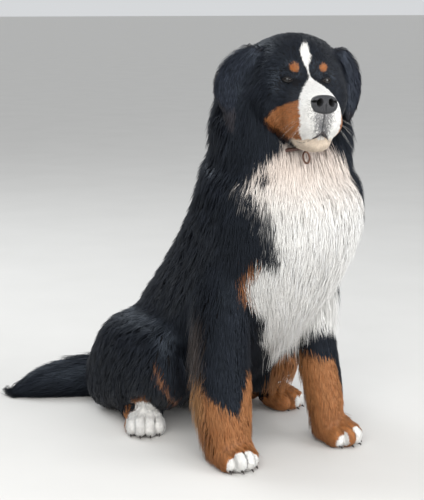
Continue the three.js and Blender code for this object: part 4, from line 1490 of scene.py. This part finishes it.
def tuft_colours(roots, mid, size, owner, lock, steps):
    """A colour for each corner of each tuft. It goes from the markings' colour at the root to that above
    the spot where the tuft lies, both read a little astray, as hairs cross. It varies from tuft to tuft
    and from lock to lock, most in the rust and in the black, where dusty hairs are a few times paler. A
    painted shade darkens each tuft towards its root, as in the depth of the coat: the shade along a tuft
    is 0.62 + 0.42 * share^0.7 in the dark, and nearly even in the white."""
    count = len(roots)
    follow = np.clip(1.15 - 1.3 * size[:, 3:4], 0.2, 1)
    astray = chance.normal(0, 1, (count, 3)) * (0.04 * size[:, :1])
    at_root = coat_colour(roots + astray * 0.5, owner)
    colour = coat_colour(roots + (mid - roots) * follow + astray, owner)
    vary = chance.uniform(0.92, 1.08, (count, 1)) * (0.94 + 0.12 * lock_number(lock, "shade")[:, None])
    dark = smooth(0.03, 0.01, colour[:, 1])[:, None]
    dusty = 2.4 * chance.random((count, 1)) ** 2 + 1.2 * lock_number(lock, "wave")[:, None] - 0.4
    vary = vary * (1 + dark * dusty)
    rusty = smooth(2.2, 2.8, colour[:, 0] / colour[:, 1]) * smooth(0.1, 0.2, colour[:, 0])
    vary = vary * (1 - 0.45 * chance.random((count, 1)) ** 2 * rusty[:, None])
    colour = mixed(colour, TAN, rusty * 0.3 * lock_number(lock, "tan"))
    share = corner_shares(steps)[None, :, None]
    pale = smooth(0.2, 0.7, colour[:, 1])[:, None, None]
    # Painted shade towards each tuft's root, as deep in the coat; slight in the white.
    shade = 0.62 + 0.42 * share**0.7 + pale * (0.24 - 0.26 * share**0.7)
    grown = smooth(0, 0.5, share)
    colour = (at_root[:, None, :] * (1 - grown) + colour[:, None, :] * grown) * vary[:, None, :]
    return np.clip(colour * shade, 0, 0.92).reshape(-1, 3)


TUFT_PRINT = 0.003


def laid_flat(mesh, faces, roots, owner, steps):
    """Gives a piece its own unwrap, where each tuft is a print 3 thousandths wide and high at its root."""
    across = np.append(np.tile([0.0, TUFT_PRINT, TUFT_PRINT / 2], steps), TUFT_PRINT / 2)
    corner = np.stack([across, corner_shares(steps) * TUFT_PRINT], -1)
    uv = np.clip(unwrapped(roots, owner)[:, None, :] + corner, 0, 1).reshape(-1, 2)
    layer = mesh.uv_layers.new(name="OFBake")
    layer.data.foreach_set("uv", uv[faces.ravel()].astype(np.float32).ravel())


def coat_piece(
    name, weights, count, steps, kind, per_lock=12, draw=0.6, wave=2.0, wave_length=70.0, stray=0.16
):
    """One piece of the coat, rooted where the weights are, coloured as the markings say, with a painted
    shade towards each root.
    """
    roots, patch, size = rooted(weights, count)
    size[:, 0] *= chance.uniform(0.72, 1.12, count)
    size[:, 1] *= chance.uniform(0.4, 1.05, count)
    path, outs, mid = combed(roots, patch, size, steps, stray)
    path, lock, sideways = gathered(path, roots, per_lock, draw, wave, wave_length)
    width = size[:, 2] * chance.uniform(0.75, 1.2, count)
    points, faces, lean = blades(path, outs, sideways, width)
    owner = patch_owner[patch]
    mesh = mesh_of(name, placed(points), faces)
    coloured(mesh, tuft_colours(roots, mid, size, owner, lock, steps))
    laid_flat(mesh, faces, roots, owner, steps)
    mesh.shade_smooth()
    mesh.normals_split_custom_set_from_vertices(lean.tolist())
    mesh.materials.append(fur_finish(kind).material)
    made = bpy.data.objects.new(name, mesh)
    bpy.context.scene.collection.objects.link(made)
    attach(made, "root")


def owned(*names):
    """1 for each patch that one of the named parts owns, and 0 for the rest."""
    return np.isin(patch_owner, [PARTS.index(name) for name in names]).astype(float)


def lid_edge_gap(way, head_points):
    """How far each point near one eye lies outside its opening, and 99 for points away from it."""
    edge, _, far, _ = lid_gap(way, head_points)
    return np.where(far < 40, edge, 99)


# Nothing grows on the eyes, the nose leather, the front of the lips and the soles. LIP_POINTS is how much
# of the mouth's path is bare.
NOSE_LEATHER = {"at": (0, -122, -43), "size": (27, 14, 20)}
LIP_POINTS = 11
patch_x, patch_y, patch_z = patch_middle.T
patch_head = to_head(patch_middle)
eye_edges = np.minimum(*[lid_edge_gap(way, patch_head) for way in (1, -1)])
from_nose = (patch_head - np.array(NOSE_LEATHER["at"])) / np.array(NOSE_LEATHER["size"])
nose_gap = np.linalg.norm(from_nose, axis=1)
lip_gap = np.minimum(*[distance_to(mouth_path(way)[:LIP_POINTS], patch_head) for way in (1, -1)])
bare = (eye_edges < 1.6) | (nose_gap < 1.0) | (lip_gap < 2.4) | (patch_z < 4)
haired = np.where(bare, 0.0, 1.0)
left = smooth(-2, 2, patch_x - MIDLINE)
right = 1 - left
# Fewer tufts are needed where the belly faces the floor close by.
hidden = np.where((patch_out[:, 2] < -0.5) & (patch_z < 260) & (patch_y > 120), 0.3, 1.0)
trunk_angle = TRUNK.nearest(patch_middle)[1]
trunk_front = owned("trunk") * haired * (np.sin(trunk_angle) > 0.25)
trunk_rest = (owned("trunk") * haired - trunk_front) * hidden
trunk_front = trunk_front * hidden
neck_front = owned("neck") * haired * (patch_y < 20)
neck_rest = owned("neck") * haired - neck_front
thigh = owned("haunch") * haired * hidden
leg_size = skin_size[corners].mean(axis=1)[:, 0]
leg = owned("foreleg") * haired
feather = leg * (leg_size > 48)
face = owned("head", "jaw") * haired * (patch_head[:, 1] < -22)
crown = owned("head", "jaw") * haired - face
# How the locks of the long white, the forelegs and the short coats gather.
loose = {"draw": 0.4, "stray": 0.2}
close = {"per_lock": 9, "draw": 0.4, "wave": 0.8}
short = {"per_lock": 6, "draw": 0.3}
coat_piece("coat_chest_left", trunk_front * left, 9000, 3, "white_coat", **loose)
coat_piece("coat_chest_right", trunk_front * right, 9000, 3, "white_coat", **loose)
coat_piece("coat_flank_left", trunk_rest * left, 9500, 2, "black_coat")
coat_piece("coat_flank_right", trunk_rest * right, 9500, 2, "black_coat")
coat_piece("coat_throat", neck_front, 6600, 3, "white_coat", **loose)
coat_piece("coat_neck", neck_rest, 8200, 3, "black_coat", wave=1.2)
coat_piece("coat_thigh_left", thigh * left, 5500, 2, "black_coat")
coat_piece("coat_thigh_right", thigh * right, 7500, 2, "black_coat")
coat_piece("coat_tail", owned("tail") * haired, 5000, 3, "black_coat", wave=3.0, stray=0.34)
coat_piece("feather_left", feather * left, 2200, 3, "rust_coat", per_lock=8, stray=0.24)
coat_piece("feather_right", feather * right, 2800, 3, "black_coat", per_lock=8, stray=0.3)
coat_piece("coat_foreleg_left", (leg - feather) * left, 5500, 2, "rust_coat", **close)
coat_piece("coat_foreleg_right", (leg - feather) * right, 6500, 2, "rust_coat", **close)
coat_piece("coat_muzzle", face, 12000, 2, "white_coat", per_lock=5, draw=0.2, wave=0.3, wave_length=30.0)
coat_piece("coat_crown", crown, 12000, 2, "black_coat", wave=0.5, stray=0.24, **short)
coat_piece("coat_ears", owned("ear") * haired, 5000, 2, "black_coat", wave=0.5, **short)
coat_piece("coat_paws", owned("paw", "hind_foot") * haired, 10000, 2, "rust_coat", wave=0.4, **short)

# Eyes.
# Dark brown eyes deep under the brows, wet and glossy. Each is a ball with the clear front bulging a
# little, and its pupil, iris and white follow the distance from the middle of the front.


def kept(name, points, faces, finish, slot, replaced=()):
    """Puts a closed mesh in its place, with its faces outward, and lets it ride on the dog."""
    made = mesh_object(name, placed(points), faces, finish)
    work = bmesh.new()
    work.from_mesh(made.data)
    bmesh.ops.recalc_face_normals(work, faces=work.faces)
    work.to_mesh(made.data)
    work.free()
    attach(made, "root")
    if replaced:
        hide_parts(*replaced)
    return made


iris_finish = Finish(
    "wet_eye", Roughness=0.2, Specular_IOR_Level=0.05, Coat_Weight=1.0, Coat_Roughness=0.01
)
across_eye = iris_finish.node("ShaderNodeAttribute", {"attribute_name": "across"}).value(2)
spokes = iris_finish.noise(900.0, 4.0, 0.7)
eye_stops = [
    # the angle from the middle of the front, and the colour: pupil, iris, its dark edge and the white
    (0.0, (0.001, 0.001, 0.001)),
    (0.22, (0.001, 0.001, 0.001)),
    (0.25, (0.004, 0.002, 0.001)),
    (0.44, (0.012, 0.005, 0.0025)),
    (0.52, (0.004, 0.003, 0.0025)),
    (0.60, (0.008, 0.006, 0.005)),
    (1.0, (0.03, 0.021, 0.019)),
]
spread_eye = across_eye + (spokes - 0.5) * 0.05
eye_ramp = iris_finish.node("ShaderNodeValToRGB", {"stops": eye_stops}, {0: spread_eye})
iris_finish.set("Base Color", eye_ramp.value(0))
CLEAR_FRONT = {"by": 0.9, "reach": 0.5}
for way, side_name in ((1, "left"), (-1, "right")):
    # the radius grows by * exp(-(angle / reach)^2) round the middle of the front
    middle, outer, _, ahead = eye_frame(way)
    grid, grid_faces = ball((0, 0, 0), (1, 1, 1), 48, 40)
    angle = np.arccos(np.clip(grid[:, 2], -1, 1))
    bulge = EYE["radius"] + CLEAR_FRONT["by"] * np.exp(-((angle / CLEAR_FRONT["reach"]) ** 2))
    way_axes = np.stack([outer, np.cross(ahead, outer), ahead])
    eye_points = from_head(middle + (grid * bulge[:, None]) @ way_axes)
    replaced = ["eye_" + side_name]
    eye = kept("eye_ball_" + side_name, eye_points, grid_faces, iris_finish, "eye", replaced)
    reading = eye.data.attributes.new("across", "FLOAT", "POINT")
    reading.data.foreach_set("value", angle.astype(np.float32))

# Lid rims.
# A thin edge of bare skin, black and wet, runs round each eye where the lids meet the ball. It is a cord
# laid on the ball along the almond of the opening.


def ring_tube(path, across, out, wide, high, closed, sides=10):
    """A round-sided cord along a path, closed into a loop or with a point at each end. Each section is
    the path's point + cos * half width across + sin * half height outwards."""
    angle = np.arange(sides) * 2 * np.pi / sides
    ring = np.cos(angle)[None, :, None] * across[:, None, :] * np.asarray(wide).reshape(-1, 1, 1)
    ring = ring + np.sin(angle)[None, :, None] * out[:, None, :] * np.asarray(high).reshape(-1, 1, 1)
    points = (path[:, None, :] + ring).reshape(-1, 3)
    count = len(path)
    if closed:
        k, j = np.meshgrid(np.arange(count), np.arange(sides), indexing="ij")
        n, m = (k + 1) % count, (j + 1) % sides
        loops = np.stack([k * sides + j, n * sides + j, n * sides + m, k * sides + m], -1)
        return points, loops.reshape(-1, 4)
    return np.vstack([points, path[:1], path[-1:]]), ring_faces(count, sides)


wet_rim = Finish("lid_edge", Roughness=0.35, Specular_IOR_Level=0.3)
wet_rim.two_tone(wet_rim.noise(800.0), (0.003, 0.0025, 0.0025), (0.012, 0.009, 0.008))
RIM = {"sides": 72, "stands_out": 1.2, "half_width": 1.15, "half_height": 1.3}
for way, side_name in ((1, "left"), (-1, "right")):
    middle, outer, up, ahead = eye_frame(way)
    turn_round = np.arange(RIM["sides"]) * 2 * np.pi / RIM["sides"]
    across = EYE_OPENING["half_width"] * np.cos(turn_round)
    arch = np.where(np.sin(turn_round) > 0, EYE_OPENING["upper"], -EYE_OPENING["lower"])
    rise = arch * np.sin(turn_round) ** 2 + EYE_OPENING["slant"] * across
    flat = np.stack([across, rise, np.sqrt(EYE["radius"] ** 2 - across**2 - rise**2)], -1) / EYE["radius"]
    out = flat @ np.stack([outer, up, ahead])
    rim = middle + out * (EYE["radius"] + RIM["stands_out"])
    along = unit(np.roll(rim, -1, axis=0) - np.roll(rim, 1, axis=0))
    sizes = (RIM["half_width"], RIM["half_height"])
    rim_points, rim_faces = ring_tube(rim, np.cross(along, out), out, *sizes, True)
    kept("lid_rim_" + side_name, from_head(rim_points), rim_faces, wet_rim, "nose_leather")

# Nose.
# Broad, black and finely pebbled leather on the end of the muzzle, parted by a groove that runs on into
# the cleft, and dented by two comma-shaped nostrils that open to the sides.
NOSE = Form(
    [(0.5, -96, -42, 22, 17, 15), (0.5, -108, -40, 27, 20, 18), (0.5, -120, -39, 27, 19, 18)],
    square=2.4,
)
NOSTRIL = {"at": (12.0, -35.5), "reach": (6.0, 7.6), "deep": 13.0}
SLIT = {"at": (21.5, -34.0), "reach": (6.5, 2.6), "deep": 6.0}
nose_points, nose_faces = tube(NOSE, sides=96, rings=30, dome=(6, 9), dome_rings=30)
nose_x, nose_y, nose_z = nose_points.T
in_front = smooth(-106, -116, nose_y)
hollows = []
# Each hollow is as deep as it says times a smooth rise over its own leaning oval.
for hollow in (NOSTRIL, SLIT):
    aside = (np.abs(nose_x) - hollow["at"][0]) / hollow["reach"][0]
    above = (nose_z - hollow["at"][1]) / hollow["reach"][1]
    hollows.append(smooth(1.2, 0.4, np.hypot(aside, above + 0.25 * aside)))
depth = np.maximum(hollows[0] * NOSTRIL["deep"], hollows[1] * SLIT["deep"])
NOSE_GROOVE = {"deep": 1.8, "reach": 1.3}
groove = np.exp(-((nose_x / NOSE_GROOVE["reach"]) ** 2)) * smooth(-34, -42, nose_z)
nose_points[:, 1] += in_front * (depth + NOSE_GROOVE["deep"] * groove)
nose_hollow = in_front * np.minimum(1, np.maximum(*hollows) * 1.4)
leather = Finish("nose_leather", Specular_IOR_Level=0.4, Coat_Roughness=0.3)
coordinates = leather.node("ShaderNodeTexCoord").value("Object")
pebbles = leather.node(
    "ShaderNodeTexVoronoi", {"feature": "DISTANCE_TO_EDGE"}, {"Vector": coordinates, "Scale": 620.0}
).value(0)
pebble = leather.node("ShaderNodeMath", {"operation": "MINIMUM"}, [pebbles * 5.0, 1.0]).value(0)
hollow_share = leather.node("ShaderNodeAttribute", {"attribute_name": "hollow"}).value(2)
lit_leather = leather.mixed(pebble * 0.8, (0.005, 0.005, 0.006), (0.036, 0.038, 0.045))
# Painted shade: the nostrils' hollows go near black.
leather.two_tone(hollow_share, lit_leather, (0.0005, 0.0005, 0.0005))
leather.set("Roughness", hollow_share * 0.6 + 0.36)
leather.set("Coat Weight", 0.18 - hollow_share * 0.18)
leather.bump(pebble, 0.0005, 0.8)
nose = kept("nose", from_head(nose_points), nose_faces, leather, "nose_leather", ["nose"])
hollow_store = nose.data.attributes.new("hollow", "FLOAT", "POINT")
hollow_store.data.foreach_set("value", nose_hollow.astype(np.float32))

# Lips.
# The black, moist edge of the closed lips shows as one line from corner to corner, widest in front, and
# rises in the middle to the cleft. It is a cord laid in the groove of the skin.
lip_line = np.vstack([mouth_path(-1)[::-1], mouth_path(1)[1:]])
ground, lip_out, _, _ = landed(from_head(lip_line))
lip_aside = np.abs(np.linspace(-1, 1, len(lip_line)))
lip_line = ground + lip_out * (0.2 + 0.8 * smooth(0.3, 0.1, lip_aside))[:, None]
lip_across = unit(np.cross(unit(np.gradient(lip_line, axis=0)), lip_out))
lip_wide = 0.7 + 2.6 * smooth(0.32, 0.1, lip_aside) + 1.0 * smooth(0.12, 0.0, lip_aside)
lips = ring_tube(lip_line, lip_across, lip_out, lip_wide, lip_wide * 0.7, False)
lip_skin = Finish("lip_skin", Roughness=0.38, Coat_Weight=0.2)
lip_skin.two_tone(lip_skin.noise(500.0), (0.006, 0.005, 0.006), (0.035, 0.028, 0.03))
lip_skin.bump(lip_skin.noise(900.0), 0.0005, 0.6)
kept("lips", *lips, lip_skin, "nose_leather")

# Whiskers.
# Stiff white hairs in three rows that stand out from the sides of the muzzle. They grow from the skin,
# and droop a little towards the tips, by share^2.
WHISKER_ROWS = [
    # how many, and where the foremost stands
    (2, -104, -70),
    (3, -102, -79),
    (3, -98, -89),
]
WHISKER_STEPS = 7
WHISKER_DROOP = 0.22
whisker_roots = []
for way in (1, -1):
    for row, (count, y, z) in enumerate(WHISKER_ROWS):
        for k in range(count):
            whisker_roots.append((way * 44, y + 8 * k - 3 * row, z - 1.5 * k))
whisker_roots = np.array(whisker_roots, float)
root_ground, root_out, root_lie, _ = landed(from_head(whisker_roots))
whisker_long = chance.uniform(34, 62, (len(root_ground), 1))
whisker_ahead = unit(root_out + 0.35 * root_lie + (0, 0, -0.45) + chance.normal(0, 0.12, root_out.shape))
steps_out = np.linspace(0, 1, WHISKER_STEPS)[None, :, None]
whisker_path = root_ground[:, None, :] + whisker_ahead[:, None, :] * whisker_long[:, None, :] * steps_out
whisker_path[:, :, 2] -= whisker_long * WHISKER_DROOP * steps_out[:, :, 0] ** 2
whisker_side = unit(np.cross(whisker_ahead, np.array([0, 0, 1.0])))
whisker_outs = np.repeat(root_out[:, None, :], WHISKER_STEPS, axis=1)
whisker_wide = np.where(whisker_roots[:, 0] > 0, 0.42, 0.26)
whisker_points, whisker_faces, _ = blades(whisker_path, whisker_outs, whisker_side, whisker_wide)
bristle = Finish("whisker", Roughness=0.4)
bristle.two_tone(bristle.noise(60.0), (0.6, 0.58, 0.55), (0.4, 0.38, 0.36))
kept("whiskers", whisker_points, whisker_faces, bristle, "white_coat")

# Claws.
# Four blunt, dark horn claws on each paw, which grow out of the toes and curve down to the ground from
# between their fur.
CLAW = [
    # y and z from the claw's base, half width, half height
    (6, 1, 2.4, 3.0),
    (0, 0, 2.3, 2.8),
    (-5, -1.5, 1.9, 2.2),
    (-7.5, -3.5, 1.2, 1.3),
]
claw_points, claw_faces = [], []
for name in PAWS:
    for x, y, long, _, high in TOES:
        base_y, base_z = y - long + 12, high * 0.36
        claw = Form([(x, base_y + back, base_z + up, wide, tall, tall) for back, up, wide, tall in CLAW])
        points, faces = tube(claw, sides=10, rings=6, dome=(2, 1.2))
        first = sum(map(len, claw_points))
        claw_faces += [[corner + first for corner in face] for face in faces]
        claw_points.append(from_paw(name, points))
horn = Finish("claw_horn", Roughness=0.34)
horn.two_tone(horn.noise(260.0, 4.0), (0.008, 0.006, 0.006), (0.04, 0.03, 0.025))
horn.bump(horn.noise(700.0), 0.0003, 0.5)
kept("claws", np.vstack(claw_points), claw_faces, horn, "nose_leather")

# Collar.
# A narrow brown leather band that shows only at the throat, with an oval ring of dull metal under it.
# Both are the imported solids, which only get their materials here.
hide_band = Finish("collar_leather", Roughness=0.55)
grain = hide_band.noise(380.0, 5.0, 0.7)
hide_band.two_tone(grain, (0.035, 0.013, 0.009), (0.085, 0.032, 0.02))
hide_band.bump(grain, 0.0006, 0.7)
dull_ring = Finish("collar_ring", Metallic=0.55)
wear = dull_ring.noise(160.0, 4.0, 0.6)
dull_ring.two_tone(wear, (0.06, 0.026, 0.016), (0.17, 0.085, 0.055))
dull_ring.set("Roughness", wear * 0.25 + 0.38)
for node_name, finish in (("collar", hide_band), ("collar_loop", dull_ring)):
    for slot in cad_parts[node_name].material_slots:
        slot.material = finish.material
